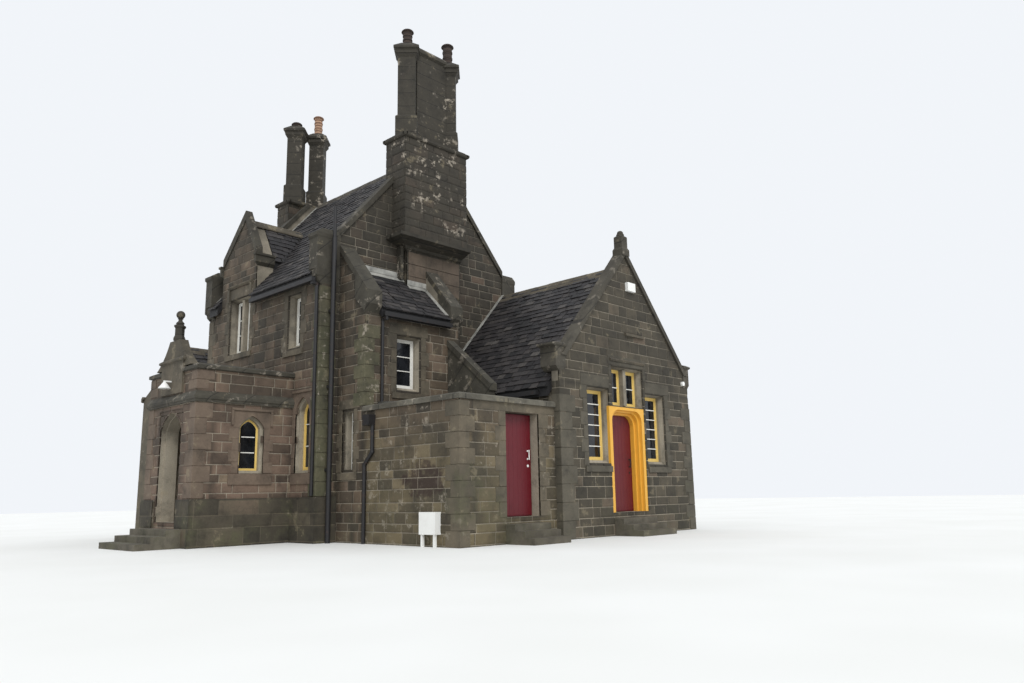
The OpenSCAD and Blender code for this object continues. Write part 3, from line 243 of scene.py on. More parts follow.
def coursed(name, low, high, edge, soot=0.0, algae=0.3, bleach=0.0, stain=None):
    """Rough squared stones: low and high are the palettes below and above the height edge.

    stain is the Y and Z of the middle of a dark patch.
    """

    def paint(net, place):
        _, _, z = net.parts(place)
        own = tone(net)
        fine = net.noise(place, 38.0, 6.0, 0.75)
        wide = net.noise(place, 1.3, 3.0)
        shade = own * 1.05 + wide * 0.4 - 0.25
        colour = net.mix(
            (z + wide * 1.5).between(edge, edge + 1.6),
            net.ramp(shade, low),
            net.ramp(shade, high),
        )
        pits = net.ramp(fine, [(0.25, (0.35,) * 3), (0.75, (1.0,) * 3)])
        colour = net.mix(0.55, colour, pits, "MULTIPLY")
        colour = weathered(net, place, colour, soot, algae, bleach)
        if stain:
            _, y, _ = net.parts(place)
            off_y, off_z = y - stain[0], (z - stain[1]) * 2.0
            spread = off_y * off_y + off_z * off_z + (net.noise(place, 4.0, 6.0, 0.7) - 0.5) * 2.6
            colour = net.mix(spread.between(0.55, 0.15) * 0.8, colour, srgb(44, 28, 22))
        return colour, fine * 0.6 + net.noise(place, 12.0, 4.0) * 0.4, 0.012, fine * 0.2 + 0.75

    return material(name, paint)


def dressed(name, base, pale, soot=0.0, algae=0.3, bleach=0.0, joint=None, gap=0.55):
    """Smooth worked stone.

    joint says how far its joints' count runs on with X, Y and Z, and the X that it starts from.
    """

    def paint(net, place):
        fine = net.noise(place, 26.0, 6.0, 0.7)
        wide = net.noise(place, 1.6, 4.0)
        colour = net.mix(wide.between(0.35, 0.7), base, pale)
        colour = net.mix(tone(net) * 0.5, colour, pale)
        pits = net.ramp(fine, [(0.25, (0.45,) * 3), (0.7, (1.0,) * 3)])
        colour = net.mix(0.5, colour, pits, "MULTIPLY")
        colour = weathered(net, place, colour, soot, algae, bleach)
        height = fine
        if joint:
            x, y, z = net.parts(place)
            run = net.maths("ABSOLUTE", x - joint[3]) * joint[0] + y * joint[1] + z * joint[2]
            line = net.maths("FRACT", run / gap)
            seam = (net.maths("ABSOLUTE", line - 0.5) * gap).between(0.012, 0.004)
            colour = net.mix(seam * 0.7, colour, srgb(20, 18, 16))
            height = fine - seam
        return colour, height, 0.006, None

    return material(name, paint, 0.85)


def palette(*stops):
    """Ramp stops from places with their screen colours."""
    return [(at, srgb(*colour)) for at, *colour in stops]


BROWN = palette((0.0, 50, 41, 34), (0.35, 84, 69, 56), (0.7, 114, 94, 76), (1.0, 142, 120, 102))
PINK = palette((0.0, 88, 70, 60), (0.4, 122, 98, 84), (0.75, 142, 116, 100), (1.0, 156, 136, 112))
GREY = palette((0.0, 44, 40, 34), (0.4, 72, 65, 54), (0.8, 96, 87, 72), (1.0, 124, 106, 90))
DARK = palette((0.0, 34, 30, 28), (0.45, 58, 49, 43), (0.8, 82, 66, 56), (1.0, 118, 94, 80))
OCHRE = palette((0.0, 62, 54, 42), (0.4, 98, 86, 64), (0.75, 124, 110, 80), (1.0, 146, 130, 100))

pink_courses = coursed("porch courses", PINK, BROWN, 3.6, 0.0, 0.25)
brown_courses = coursed("house courses", BROWN, BROWN, 3.0, 0.03, 0.3)
ochre_courses = coursed("lean-to courses", OCHRE, BROWN, 2.2, 0.0, 0.5, 0.5, (-2.95, 1.25))
grey_courses = coursed("wing courses", GREY, GREY, 3.0, 0.03, 0.25)
gable_courses = coursed("gable courses", BROWN, DARK, 4.6, 0.05, 0.2)
stack_courses = coursed("stack courses", DARK, DARK, 5.0, 0.05, 0.1, 0.9)
plinth_stone = coursed("plinth stones", GREY, GREY, 3.0, 0.0, 0.8)


def mortar_paint(net, place):
    fine = net.noise(place, 60.0, 4.0)
    colour = net.ramp(fine, [(0.2, srgb(150, 140, 124)), (0.8, srgb(204, 194, 174))])
    return weathered(net, place, colour, 0.0, 0.3), fine, 0.004, None


mortar = material("lime mortar", mortar_paint)
plain_ashlar = dressed("smooth ashlar", srgb(112, 94, 82), srgb(136, 116, 100), 0.0, 0.3)
quoin_stone = dressed("quoin stone", srgb(92, 85, 72), srgb(122, 110, 92), 0.0, 0.7, 0.3)
green_quoin = dressed("green quoin stone", srgb(74, 78, 54), srgb(112, 108, 82), 0.0, 1.2, 0.8)
wing_quoin = dressed("wing quoin stone", srgb(84, 80, 70), srgb(104, 98, 86), 0.03, 0.4)
coping_stone = dressed(
    "coping stone", srgb(56, 54, 48), srgb(84, 82, 74), 0.05, 0.3, 0.5, (0.66, 0.75, 0.75, 3.1)
)
wing_coping_stone = dressed(
    "wing coping stone",
    srgb(66, 62, 55),
    srgb(88, 84, 76),
    algae=0.3,
    bleach=0.4,
    joint=(0.66, 0.0, 0.75, WING_MID),
)
flat_coping = dressed(
    "flat coping",
    srgb(80, 78, 72),
    srgb(128, 124, 112),
    algae=0.4,
    bleach=0.5,
    joint=(0.7, 0.7, 0.0, -20.0),
    gap=0.8,
)
sooty_stone = dressed(
    "sooty chimney stone",
    srgb(34, 32, 30),
    srgb(52, 49, 44),
    algae=0.5,
    bleach=0.8,
    joint=(0.0, 0.0, 1.0, 0.0),
    gap=0.36,
)
step_stone = dressed("step stone", srgb(92, 86, 76), srgb(124, 118, 104), 0.0, 0.6)


def slate_paint(net, place):
    fine = net.noise(place, 30.0, 5.0, 0.7)
    colour = net.ramp(
        tone(net) * 0.7 + fine * 0.3,
        palette((0.1, 18, 17, 18), (0.5, 38, 35, 36), (0.8, 58, 54, 52), (1.0, 112, 108, 102)),
    )
    lichen = net.noise(place, 7.0, 5.0, 0.7).between(0.62, 0.72) * 0.4
    return net.mix(lichen, colour, srgb(104, 102, 84)), fine, 0.006, fine * 0.3 + 0.5


slates = material("stone slates", slate_paint)


def paint_over(name, colour, worn, rough=0.45):
    """Brushed gloss paint with worn, dusty places."""

    def paint(net, place):
        streak = net.noise(place, 3.0, 4.0)
        grain = net.noise(place, 90.0, 3.0)
        mixed = net.mix(streak.between(0.5, 0.8) * 0.45, colour, worn)
        return mixed, grain, 0.001, streak * 0.25 + rough - 0.1

    return material(name, paint, rough)


crimson = paint_over("crimson gloss", srgb(92, 0, 18), srgb(70, 2, 18))
yellow = paint_over("yellow gloss", srgb(224, 168, 62), srgb(186, 132, 44))
cream = paint_over("cream gloss", srgb(222, 190, 108), srgb(196, 158, 80))
white = paint_over("white gloss", srgb(222, 220, 212), srgb(178, 174, 164))
enamel = paint_over("white enamel", srgb(232, 232, 228), srgb(196, 192, 184), 0.3)


def iron_paint(net, place):
    rust = net.noise(place, 9.0, 5.0, 0.7)
    colour = net.mix(rust.between(0.55, 0.75) * 0.5, srgb(26, 25, 26), srgb(70, 46, 34))
    return colour, rust, 0.002, rust * 0.3 + 0.4


iron = material("black iron", iron_paint)


def lead_sheet(name, dull, bright):
    """Lead, dull in some places and bright in others."""

    def paint(net, place):
        wide = net.noise(place, 4.0, 5.0, 0.7)
        return net.ramp(wide, [(0.3, dull), (0.7, bright)]), wide, 0.004, None

    return material(name, paint, 0.6)


lead = lead_sheet("lead flashing", srgb(104, 104, 100), srgb(176, 174, 166))
grey_lead = lead_sheet("old lead sheet", srgb(52, 52, 50), srgb(98, 96, 90))


def clay_paint(net, place):
    x, y, z = net.parts(place)
    ring = net.maths("ABSOLUTE", net.maths("FRACT", z * 11.0) - 0.5)
    spots = net.noise(place, 20.0, 4.0)
    colour = net.mix(ring.between(0.2, 0.4), srgb(176, 142, 116), srgb(104, 74, 58))
    colour = net.mix(spots.between(0.5, 0.7) * 0.5, colour, srgb(84, 76, 68))
    sooty = 1 - y.between(4.0, 4.1) * x.between(3.0, 3.1)
    return net.mix(sooty * 0.92, colour, srgb(34, 31, 30)), ring, 0.02, None


clay = material("fired clay", clay_paint)


def boards_paint(net, place):
    x, y, _ = net.parts(place)
    seam = net.maths("ABSOLUTE", net.maths("FRACT", y * 7.0) - 0.5).between(0.45, 0.49)
    grain = net.noise(net.join(x * 0.4, y * 12.0, 0.0), 5.0, 4.0)
    colour = net.ramp(grain, [(0.3, srgb(96, 70, 48)), (0.7, srgb(138, 106, 76))])
    return net.mix(seam, colour, srgb(30, 22, 16)), seam, 0.004, None


boards = material("floor boards", boards_paint, 0.7)


def glass_paint(net, place):
    wave = net.noise(place, 2.2, 2.0)
    return net.ramp(wave, [(0.35, srgb(14, 15, 17)), (0.7, srgb(38, 40, 44))]), wave, 0.01, None


glass = material("window glass", glass_paint, 0.06)


# Repeated stones and slates, made by two trees
def tree_with(name, inputs):
    """A Geometry Nodes tree with the named inputs; returns its net and their values."""
    tree = bpy.data.node_groups.new(name, "GeometryNodeTree")
    for label, kind in inputs:
        tree.interface.new_socket(label, in_out="INPUT", socket_type=kind)
    tree.interface.new_socket("Geometry", in_out="OUTPUT", socket_type="NodeSocketGeometry")
    net = Net(tree)
    group = net.add("NodeGroupInput")
    return net, [Val(net, group.outputs[label]) for label, _ in inputs]


def chance(net, number, seed):
    """A random value from 0 to 1 that belongs to a number."""
    settings = {"data_type": "FLOAT"}
    return net.get("FunctionNodeRandomValue", settings, {2: 0.0, 3: 1.0, 7: number, 8: seed}, 1)


def finish_tree(net, geometry, finish):
    """Real geometry, its material and the output, as every tree ends."""
    geometry = net.get("GeometryNodeRealizeInstances", {}, {0: geometry})
    geometry = net.get("GeometryNodeSetMaterial", {}, {0: geometry, 2: finish})
    out = net.add("NodeGroupOutput")
    net.tree.links.new(geometry.socket, out.inputs[0])


def stone_tree():
    """Courses of rough blocks on the plane Y 0, their faces towards -Y."""
    net, (first, rows, start, count, length, course, joint, proud, seed, finish) = tree_with(
        "coursed stones",
        [
            ("First course", "NodeSocketInt"),
            ("Courses", "NodeSocketInt"),
            ("First stone", "NodeSocketInt"),
            ("Stones", "NodeSocketInt"),
            ("Stone length", "NodeSocketFloat"),
            ("Course height", "NodeSocketFloat"),
            ("Joint", "NodeSocketFloat"),
            ("Proud", "NodeSocketFloat"),
            ("Seed", "NodeSocketInt"),
            ("Finish", "NodeSocketMaterial"),
        ],
    )
    index = net.get("GeometryNodeInputIndex")
    row_here = (index / count + 0.0001).floor()
    row = row_here + first
    col = index - row_here * count + start
    key = row * 1009 + col

    def edge(shift):
        uneven = (chance(net, key + shift, seed) - 0.5) * 0.6
        return (col + shift + chance(net, row, seed) + uneven) * length

    def bed(shift):
        return (row + shift + (chance(net, (row + shift) * 7, 3) - 0.5) * 0.3) * course

    left, right_edge, low, high = edge(0), edge(1), bed(0), bed(1)
    depth = proud + 0.02
    middle = net.join((left + right_edge) / 2, (0.02 - proud) / 2, (low + high) / 2)
    points = net.get("GeometryNodePoints", {}, {0: rows * count, 1: middle})
    cube = net.get("GeometryNodeMeshCube", {}, {0: (1, 1, 1), 1: 4, 2: 2, 3: 4})
    x, y, z = net.parts(net.get("GeometryNodeInputPosition"))
    inner_x = net.maths("LESS_THAN", net.maths("ABSOLUTE", x), 0.3)
    inner_z = net.maths("LESS_THAN", net.maths("ABSOLUTE", z), 0.3)
    face = net.maths("LESS_THAN", y, 0.0)
    shaped = net.join(
        x * (1 + inner_x * 1.4), y + face * (1 - inner_x * inner_z) * 0.22, z * (1 + inner_z * 1.1)
    )
    block = net.get("GeometryNodeSetPosition", {}, {0: cube, 2: shaped})
    scale = net.join(
        right_edge - left - joint, depth * (0.8 + chance(net, key, seed + 5) * 0.3), high - low - joint
    )
    stones = net.get("GeometryNodeInstanceOnPoints", {}, {0: points, 2: block, 6: scale})
    stones = net.get(
        "GeometryNodeStoreNamedAttribute",
        {"data_type": "FLOAT", "domain": "INSTANCE"},
        {"Geometry": stones, "Name": "tone", "Value": chance(net, key, seed + 9)},
    )
    real = net.get("GeometryNodeRealizeInstances", {}, {0: stones})
    place = net.get("GeometryNodeInputPosition")
    _, depth_now, _ = net.parts(place)
    swell = (net.noise(place, 7.0, 2.0) - 0.5) * 0.014 * net.maths("LESS_THAN", depth_now, -0.001)
    rough = net.get("GeometryNodeSetPosition", {}, {0: real, 3: net.join(0.0, swell, 0.0)})
    finish_tree(net, rough, finish)
    return net.tree


def slate_tree():
    """Overlapping slates on the plane Z 0; the courses climb along Y."""
    net, (rows, count, width, gauge, thick, seed, finish) = tree_with(
        "slate courses",
        [
            ("Courses", "NodeSocketInt"),
            ("Slates", "NodeSocketInt"),
            ("Slate width", "NodeSocketFloat"),
            ("Gauge", "NodeSocketFloat"),
            ("Thickness", "NodeSocketFloat"),
            ("Seed", "NodeSocketInt"),
            ("Finish", "NodeSocketMaterial"),
        ],
    )
    index = net.get("GeometryNodeInputIndex")
    row = (index / count + 0.0001).floor()
    col = index - row * count
    luck = chance(net, index, seed)
    half = net.maths("FRACT", row * 0.5)
    x = (col - 1 + half + chance(net, row, seed + 2) * 0.4 + (luck - 0.5) * 0.16) * width
    middle = net.join(x, (row + 0.5) * gauge + (luck - 0.5) * 0.012, thick * 0.9 + luck * 0.004)
    points = net.get("GeometryNodePoints", {}, {0: rows * count, 1: middle})
    cube = net.get("GeometryNodeMeshCube", {}, {0: (1, 1, 1), 1: 3, 2: 2, 3: 2})
    tilt = net.join(-0.085 - luck * 0.02, 0.0, (chance(net, index, seed + 4) - 0.5) * 0.03)
    size = net.join(width * (0.9 + luck * 0.12), gauge * 1.5, thick * (0.75 + luck * 0.6))
    stones = net.get(
        "GeometryNodeInstanceOnPoints", {}, {0: points, 2: cube, 5: tilt, 6: size}
    )
    stones = net.get(
        "GeometryNodeStoreNamedAttribute",
        {"data_type": "FLOAT", "domain": "INSTANCE"},
        {"Geometry": stones, "Name": "tone", "Value": chance(net, index, seed + 9)},
    )
    real = net.get("GeometryNodeRealizeInstances", {}, {0: stones})
    place = net.get("GeometryNodeInputPosition")
    ragged = (net.noise(place, 9.0, 2.0) - 0.5) * 0.03
    rough = net.get("GeometryNodeSetPosition", {}, {0: real, 3: net.join(0.0, ragged, ragged * 0.3)})
    finish_tree(net, rough, finish)
    return net.tree


STONES = stone_tree()
SLATES = slate_tree()


def grown(tree, values):
    """The mesh that a tree makes from the given inputs."""
    holder = bpy.data.objects.new("holder", bpy.data.meshes.new("holder"))
    bpy.context.collection.objects.link(holder)
    modifier = holder.modifiers.new("tree", "NODES")
    modifier.node_group = tree
    for item in tree.interface.items_tree:
        if item.in_out == "INPUT" and item.name in values:
            modifier[item.identifier] = values[item.name]
    bpy.context.view_layer.update()
    graph = bpy.context.evaluated_depsgraph_get()
    mesh = bpy.data.meshes.new_from_object(holder.evaluated_get(graph))
    bpy.data.objects.remove(holder)
    return mesh


def add_piece(name, mesh, finishes=(), body=HOUSE):
    """A finished piece that rides on a body."""
    obj = bpy.data.objects.new(name, mesh)
    bpy.context.collection.objects.link(obj)
    for m in finishes:
        mesh.materials.append(m)
    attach(obj, body)
    return obj


def clipped(mesh, node, shift, finish):
    """The part of mesh that lies in the solid of a node, moved by shift."""
    cutter_mesh = nodes[node].data.copy()
    cutter_mesh.transform(Matrix.Translation(shift))
    bm = bmesh.new()
    bm.from_mesh(cutter_mesh)
    bmesh.ops.remove_doubles(bm, verts=bm.verts, dist=1e-5)
    bm.to_mesh(cutter_mesh)
    bm.free()
    cutter_mesh.materials.clear()
    cutter = bpy.data.objects.new("cutter", cutter_mesh)
    subject = bpy.data.objects.new("subject", mesh)
    bpy.context.collection.objects.link(cutter)
    bpy.context.collection.objects.link(subject)
    cut = subject.modifiers.new("cut", "BOOLEAN")
    cut.operation = "INTERSECT"
    cut.solver = "MANIFOLD"
    cut.object = cutter
    bpy.context.view_layer.update()
    graph = bpy.context.evaluated_depsgraph_get()
    result = bpy.data.meshes.new_from_object(subject.evaluated_get(graph))
    bpy.data.objects.remove(subject)
    bpy.data.objects.remove(cutter)
    result.materials.clear()
    result.materials.append(finish)
    result.polygons.foreach_set("material_index", [0] * len(result.polygons))
    return result


def wall_axes(out):
    """World axes of a wall whose face looks along out: along it, into it, up."""
    into = -Vector(out)
    along = into.cross(Vector((0, 0, 1)))
    return along, into


def corners(lo, hi):
    return [Vector((x, y, z)) for x in (lo.x, hi.x) for y in (lo.y, hi.y) for z in (lo.z, hi.z)]


def clad(node, out, at, finish, length=0.42, course=0.21, proud=0.013, seed=1, zs=None):
    """Courses of stones on the face of a wall node; at is the face's place along out."""
    lo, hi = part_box(node)
    if zs:
        lo.z, hi.z = zs
    along, into = wall_axes(out)
    runs = [c.dot(along) for c in corners(lo, hi)]
    first = math.floor(lo.z / course) - 1
    start = math.floor(min(runs) / length) - 2
    values = {
        "First course": first,
        "Courses": math.ceil(hi.z / course) + 2 - first,
        "First stone": start,
        "Stones": math.ceil(max(runs) / length) + 2 - start,
        "Stone length": length,
        "Course height": course,
        "Joint": 0.016,
        "Proud": proud,
        "Seed": seed,
        "Finish": finish,
    }
    mesh = grown(STONES, values)
    place = Matrix((along, into, Vector((0, 0, 1)))).transposed().to_4x4()
    place.translation = Vector(out) * at
    mesh.transform(place)
    mesh = clipped(mesh, node, Vector(out) * 0.05, finish)
    return add_piece(f"{node}.stones.{'mzp'[int(out[0]) + 1]}{'mzp'[int(out[1]) + 1]}.{seed}", mesh)


def slate(node, foot, along, climb, width, rise, seed=1, gauge=0.16, slate_w=0.24, thick=0.028):
    """Slates on a roof slope: foot is its low corner, climb its direction upwards."""
    along, climb = Vector(along).normalized(), Vector(climb).normalized()
    values = {
        "Courses": math.ceil(rise / gauge),
        "Slates": math.ceil(width / slate_w) + 3,
        "Slate width": slate_w,
        "Gauge": gauge,
        "Thickness": thick,
        "Seed": seed,
        "Finish": slates,
    }
    mesh = grown(SLATES, values)
    normal = along.cross(climb)
    place = Matrix((along, climb, normal)).transposed().to_4x4()
    place.translation = Vector(foot)
    mesh.transform(place)
    mesh = clipped(mesh, node, normal * 0.09, slates)
    return add_piece(f"{node}.slates.{seed}", mesh)


# Walls
LEFT, NEAR, RIGHT, FAR = (-1, 0, 0), (0, -1, 0), (1, 0, 0), (0, 1, 0)
for node, out, at, finish in (
    ("facade_wall", LEFT, 0.0, pink_courses),
    ("near_gable_wall", NEAR, 0.0, gable_courses),
    ("far_gable_wall", FAR, MAIN_L, gable_courses),
    ("rear_wall", RIGHT, MAIN_W, brown_courses),
    ("near_chimney_breast", NEAR, BREAST_OUT, gable_courses),
    ("near_chimney_stack", NEAR, 0.5, stack_courses),
    ("near_chimney_stack", LEFT, -STACK_X0, stack_courses),
    ("near_chimney_stack", RIGHT, STACK_X1, stack_courses),
    ("near_chimney_stack", FAR, 0.25, stack_courses),
    ("far_chimney_breast", FAR, MAIN_L + BREAST_OUT, gable_courses),
    ("far_chimney_stack", FAR, MAIN_L + 0.6, stack_courses),
    ("far_chimney_stack", LEFT, -2.2, stack_courses),
    ("far_chimney_stack", RIGHT, 3.95, stack_courses),
    ("far_chimney_stack", NEAR, -MAIN_L, stack_courses),
    ("extension_front_wall", NEAR, EXT_L, brown_courses),
    ("extension_side_walls", LEFT, -EXT_X, brown_courses),
    ("extension_side_walls", RIGHT, WING_X, brown_courses),
    ("lean_to_side_wall", LEFT, -EXT_X, ochre_courses),
    ("lean_to_wall_beside_door", NEAR, LEAN_L, ochre_courses),
    ("wing_front_wall_left", NEAR, WING_L, grey_courses),
    ("wing_front_wall_right", NEAR, WING_L, grey_courses),
    ("wing_front_gable", NEAR, WING_L, grey_courses),
    ("wing_right_wall", RIGHT, WING_X1, grey_courses),
    ("wing_rear_wall", FAR, 0.0, grey_courses),
    ("porch_front_wall", LEFT, PORCH_P, pink_courses),
    ("porch_side_walls", NEAR, -PORCH_Y, pink_courses),
    ("porch_side_walls", FAR, PORCH_Y + PORCH_W, pink_courses),
    ("outhouse_walls", LEFT, 0.0, brown_courses),
    ("outhouse_walls", FAR, OUT_END, brown_courses),
    ("outhouse_walls", RIGHT, OUT_W, brown_courses),
    ("porch_front_wall", NEAR, -PORCH_Y, pink_courses),
    ("porch_front_wall", FAR, PORCH_Y + PORCH_W, pink_courses),
    ("lean_to_side_wall", NEAR, LEAN_L, ochre_courses),
    ("extension_front_wall", LEFT, -EXT_X, brown_courses),
    ("facade_wall", NEAR, 0.0, brown_courses),
    ("facade_wall", FAR, MAIN_L, brown_courses),
    ("rear_wall", NEAR, 0.0, brown_courses),
    ("rear_wall", FAR, MAIN_L, brown_courses),
    ("wing_front_wall_left", LEFT, -WING_X, grey_courses),
    ("wing_left_wall", LEFT, -WING_X, grey_courses),
    ("wing_front_wall_right", RIGHT, WING_X1, grey_courses),
    ("wing_rear_wall", RIGHT, WING_X1, grey_courses),
):
    clad(node, out, at, finish, seed=3 if "wing" in node else 1)

# Large stones of the plinth
for out, at in (
    (LEFT, PORCH_P + PLINTH_OUT),
    (NEAR, PLINTH_OUT - PORCH_Y),
    (FAR, PORCH_Y + PORCH_W + PLINTH_OUT),
    (LEFT, PLINTH_OUT),
    (NEAR, PLINTH_OUT),
    (RIGHT, MAIN_W + PLINTH_OUT),
    (FAR, MAIN_L + PLINTH_OUT),
):
    clad("plinth_course", out, at, plinth_stone, 0.85, 0.325, 0.008, int(at * 100) + 300)

# Roofs
slope = Vector((1, 0, PITCH)).normalized()
back = Vector((-1, 0, PITCH)).normalized()
run = MAIN_W / 2 + EAVE_OUT
rise = run * math.hypot(1, PITCH)
eave_z = RIDGE - PITCH * run
slate("main_roof_porch_side", (-EAVE_OUT, MAIN_L, eave_z), (0, -1, 0), slope, MAIN_L, rise, 1)
slate("main_roof_rear_side", (MAIN_W + EAVE_OUT, 0, eave_z), (0, 1, 0), back, MAIN_L, rise, 2)
wing_run = WING_W / 2 + EAVE_OUT
wing_eave = WING_RIDGE - PITCH * wing_run
wing_rise = wing_run * math.hypot(1, PITCH)
slate("wing_roof", (WING_X - EAVE_OUT, 0.1, wing_eave), (0, -1, 0), slope, WING_L, wing_rise, 3)
slate("wing_roof", (WING_X1 + EAVE_OUT, -WING_L, wing_eave), (0, 1, 0), back, WING_L, wing_rise, 4)
ext_climb = Vector((0, 1, EXT_PITCH))
slate(
    "extension_roof",
    (EXT_X, -EXT_L - 0.11, EXT_TOP - EXT_PITCH * (EXT_L + 0.11)),
    (1, 0, 0),
    ext_climb,
    3.0,
    1.12 * math.hypot(1, EXT_PITCH),
    5,
    0.15,
    0.23,
)
for side, seed in ((1, 6), (-1, 7)):
    foot_y = BAY_Y0 if side == 1 else BAY_Y1
    fall = (BAY_TOP - BAY_FOOT) / abs(BAY_MID - foot_y)
    slate(
        "bay_roof",
        (0.3 if side == 1 else 3.2, foot_y, BAY_FOOT),
        (side, 0, 0),
        (0, side, fall),
        3.0,
        abs(BAY_MID - foot_y) * math.hypot(1, fall),
        seed,
        0.15,
        0.23,
    )
reach = OUT_L / 2 + 0.1
for side, seed in ((1, 8), (-1, 9)):
    slate(
        "outhouse_roof",
        (-0.1 if side == 1 else 2.0, OUT_MID - side * reach, OUT_RIDGE - PITCH * reach),
        (side, 0, 0),
        (0, side, PITCH),
        2.2,
        reach * math.hypot(1, PITCH),
        seed,
    )

# Openings: out, face of the wall, sides along it, sill and head
DOOR_LEFT = DOOR_MID - 1.43
TALL_RIGHT = DOOR_MID + 0.8
UPPER_LIGHT = (LEFT, 0.0, 0.85, 1.3, UPPER_SILL, UPPER_HEAD)
EXTENSION_LIGHT = (NEAR, EXT_L, 1.38, 1.97, 3.32, 4.45)
OUTHOUSE_LIGHT = (FAR, OUT_END, 0.685, 1.185, SILL, 2.54)
WING_SIDE_LIGHT = (RIGHT, WING_X1, -2.6, -1.88, SILL, 2.88)
REAR_LIGHTS = [
    (RIGHT, MAIN_W, y, y + 0.45, z0, z1)
    for y in (1.3, MAIN_L - 1.75)
    for z0, z1 in ((UPPER_SILL, UPPER_HEAD), (SILL, TALL_HEAD))
]

# Dressed stones
DRESSED_OUT = 0.019
luck = random.Random(7)


def box_on(out, at, a0, a1, z0, z1, proud, depth=0.03):
    """Corners of a slip on a wall: a0 to a1 along the wall, proud of its face at `at`."""
    side = sum(out)
    near, far = at + proud, at - depth
    if out[0]:
        xs = sorted((side * near, side * far))
        return Vector((xs[0], a0, z0)), Vector((xs[1], a1, z1))
    ys = sorted((side * near, side * far))
    return Vector((a0, ys[0], z0)), Vector((a1, ys[1], z1))


def blocks(name, boxes, finish, bevel=0.006, body=HOUSE):
    """One piece of chamfered blocks, each with its own tone."""
    bm = bmesh.new()
    layer = bm.verts.layers.float.new("tone")
    for lo, hi in boxes:
        own = luck.random()
        made = bmesh.ops.create_cube(bm, size=1)["verts"]
        for v in made:
            v[layer] = own
            v.co = Vector(
                (lo[i] + (hi[i] - lo[i]) * (v.co[i] + 0.5) for i in range(3))
            )
    if bevel:
        bmesh.ops.bevel(bm, geom=bm.edges[:], offset=bevel, segments=1, affect="EDGES")
    mesh = bpy.data.meshes.new(name)
    bm.to_mesh(mesh)
    bm.free()
    return add_piece(name, mesh, [finish], body)


def quoins(x, y, sx, sy, z0, z1, long=0.38, short=0.24, tall=0.31, along_y=None):
    """Alternating corner stones at a corner whose faces look along sx and sy."""
    found = []
    long_y, short_y = along_y or (long, short)
    count = max(1, round((z1 - z0) / tall))
    step = (z1 - z0) / count
    for i in range(count):
        a, b = (long, short_y) if i % 2 else (short, long_y)
        xs = sorted((x + sx * 0.02, x - sx * a))
        ys = sorted((y + sy * 0.02, y - sy * b))
        low, high = z0 + i * step + 0.004, z0 + (i + 1) * step - 0.004
        found.append((Vector((xs[0], ys[0], low)), Vector((xs[1], ys[1], high))))
    return found


blocks(
    "near_corner.quoins",
    quoins(0, 0, -1, -1, PLINTH_H, 5.6, 0.4, 0.26, 0.31, (0.28, 0.2))
    + quoins(EXT_X, -EXT_L, -1, -1, 2.85, 4.62),
    green_quoin,
)
blocks(
    "house.quoins",
    quoins(0, MAIN_L, -1, 1, 3.6, 5.6)
    + quoins(MAIN_W, MAIN_L, 1, 1, PLINTH_H, 5.6)
    + quoins(0, OUT_END, -1, 1, 0.0, 3.0)
    + quoins(OUT_W, OUT_END, 1, 1, 0.0, 3.0),
    quoin_stone,
)
blocks("lean_to.quoins", quoins(EXT_X, -LEAN_L, -1, -1, 0.0, 2.7), quoin_stone)
blocks(
    "wing.quoins",
    quoins(WING_X, -WING_L, -1, -1, 0.0, 3.0, 0.5, 0.38, 0.36, (0.38, 0.3))
    + quoins(WING_X1, -WING_L, 1, -1, 0.0, 3.0)
    + quoins(WING_X1, 0, 1, 1, 0.0, 3.0),
    wing_quoin,
)
porch_corners = []
for corner_y, side in ((PORCH_Y, -1), (PORCH_Y + PORCH_W, 1)):
    porch_corners += quoins(-PORCH_P, corner_y, -1, side, PLINTH_H, 2.93, 0.36, 0.24)
    porch_corners += quoins(-PORCH_P, corner_y, -1, side, 3.2, 3.6, 0.36, 0.24, 0.2)
blocks("porch.quoins", porch_corners, plain_ashlar)


def surround(out, at, a0, a1, z0, z1, drop=0.13, sides=(-1, 1)):
    """Long and short jamb stones, a lintel and a sill round a splayed opening."""
    a0, a1, top, foot = a0 - SPLAY, a1 + SPLAY, z1 + SPLAY, z0 - drop
    left_over, right_over = (0.2 if s in sides else 0.0 for s in (-1, 1))
    found = [box_on(out, at, a0 - left_over, a1 + right_over, top, top + 0.25, DRESSED_OUT)]
    left_over, right_over = left_over * 0.6, right_over * 0.6
    found.append(box_on(out, at, a0 - left_over, a1 + right_over, foot - 0.13, foot, 0.045))
    count = max(2, round((top - foot) / 0.3))
    step = (top - foot) / count
    for i in range(count):
        for side in sides:
            wide = 0.24 if (i + (side > 0)) % 2 else 0.14
            edge = a0 if side < 0 else a1
            ends = sorted((edge, edge + side * wide))
            low, high = foot + i * step + 0.003, foot + (i + 1) * step - 0.003
            found.append(box_on(out, at, *ends, low, high, DRESSED_OUT))
    return found


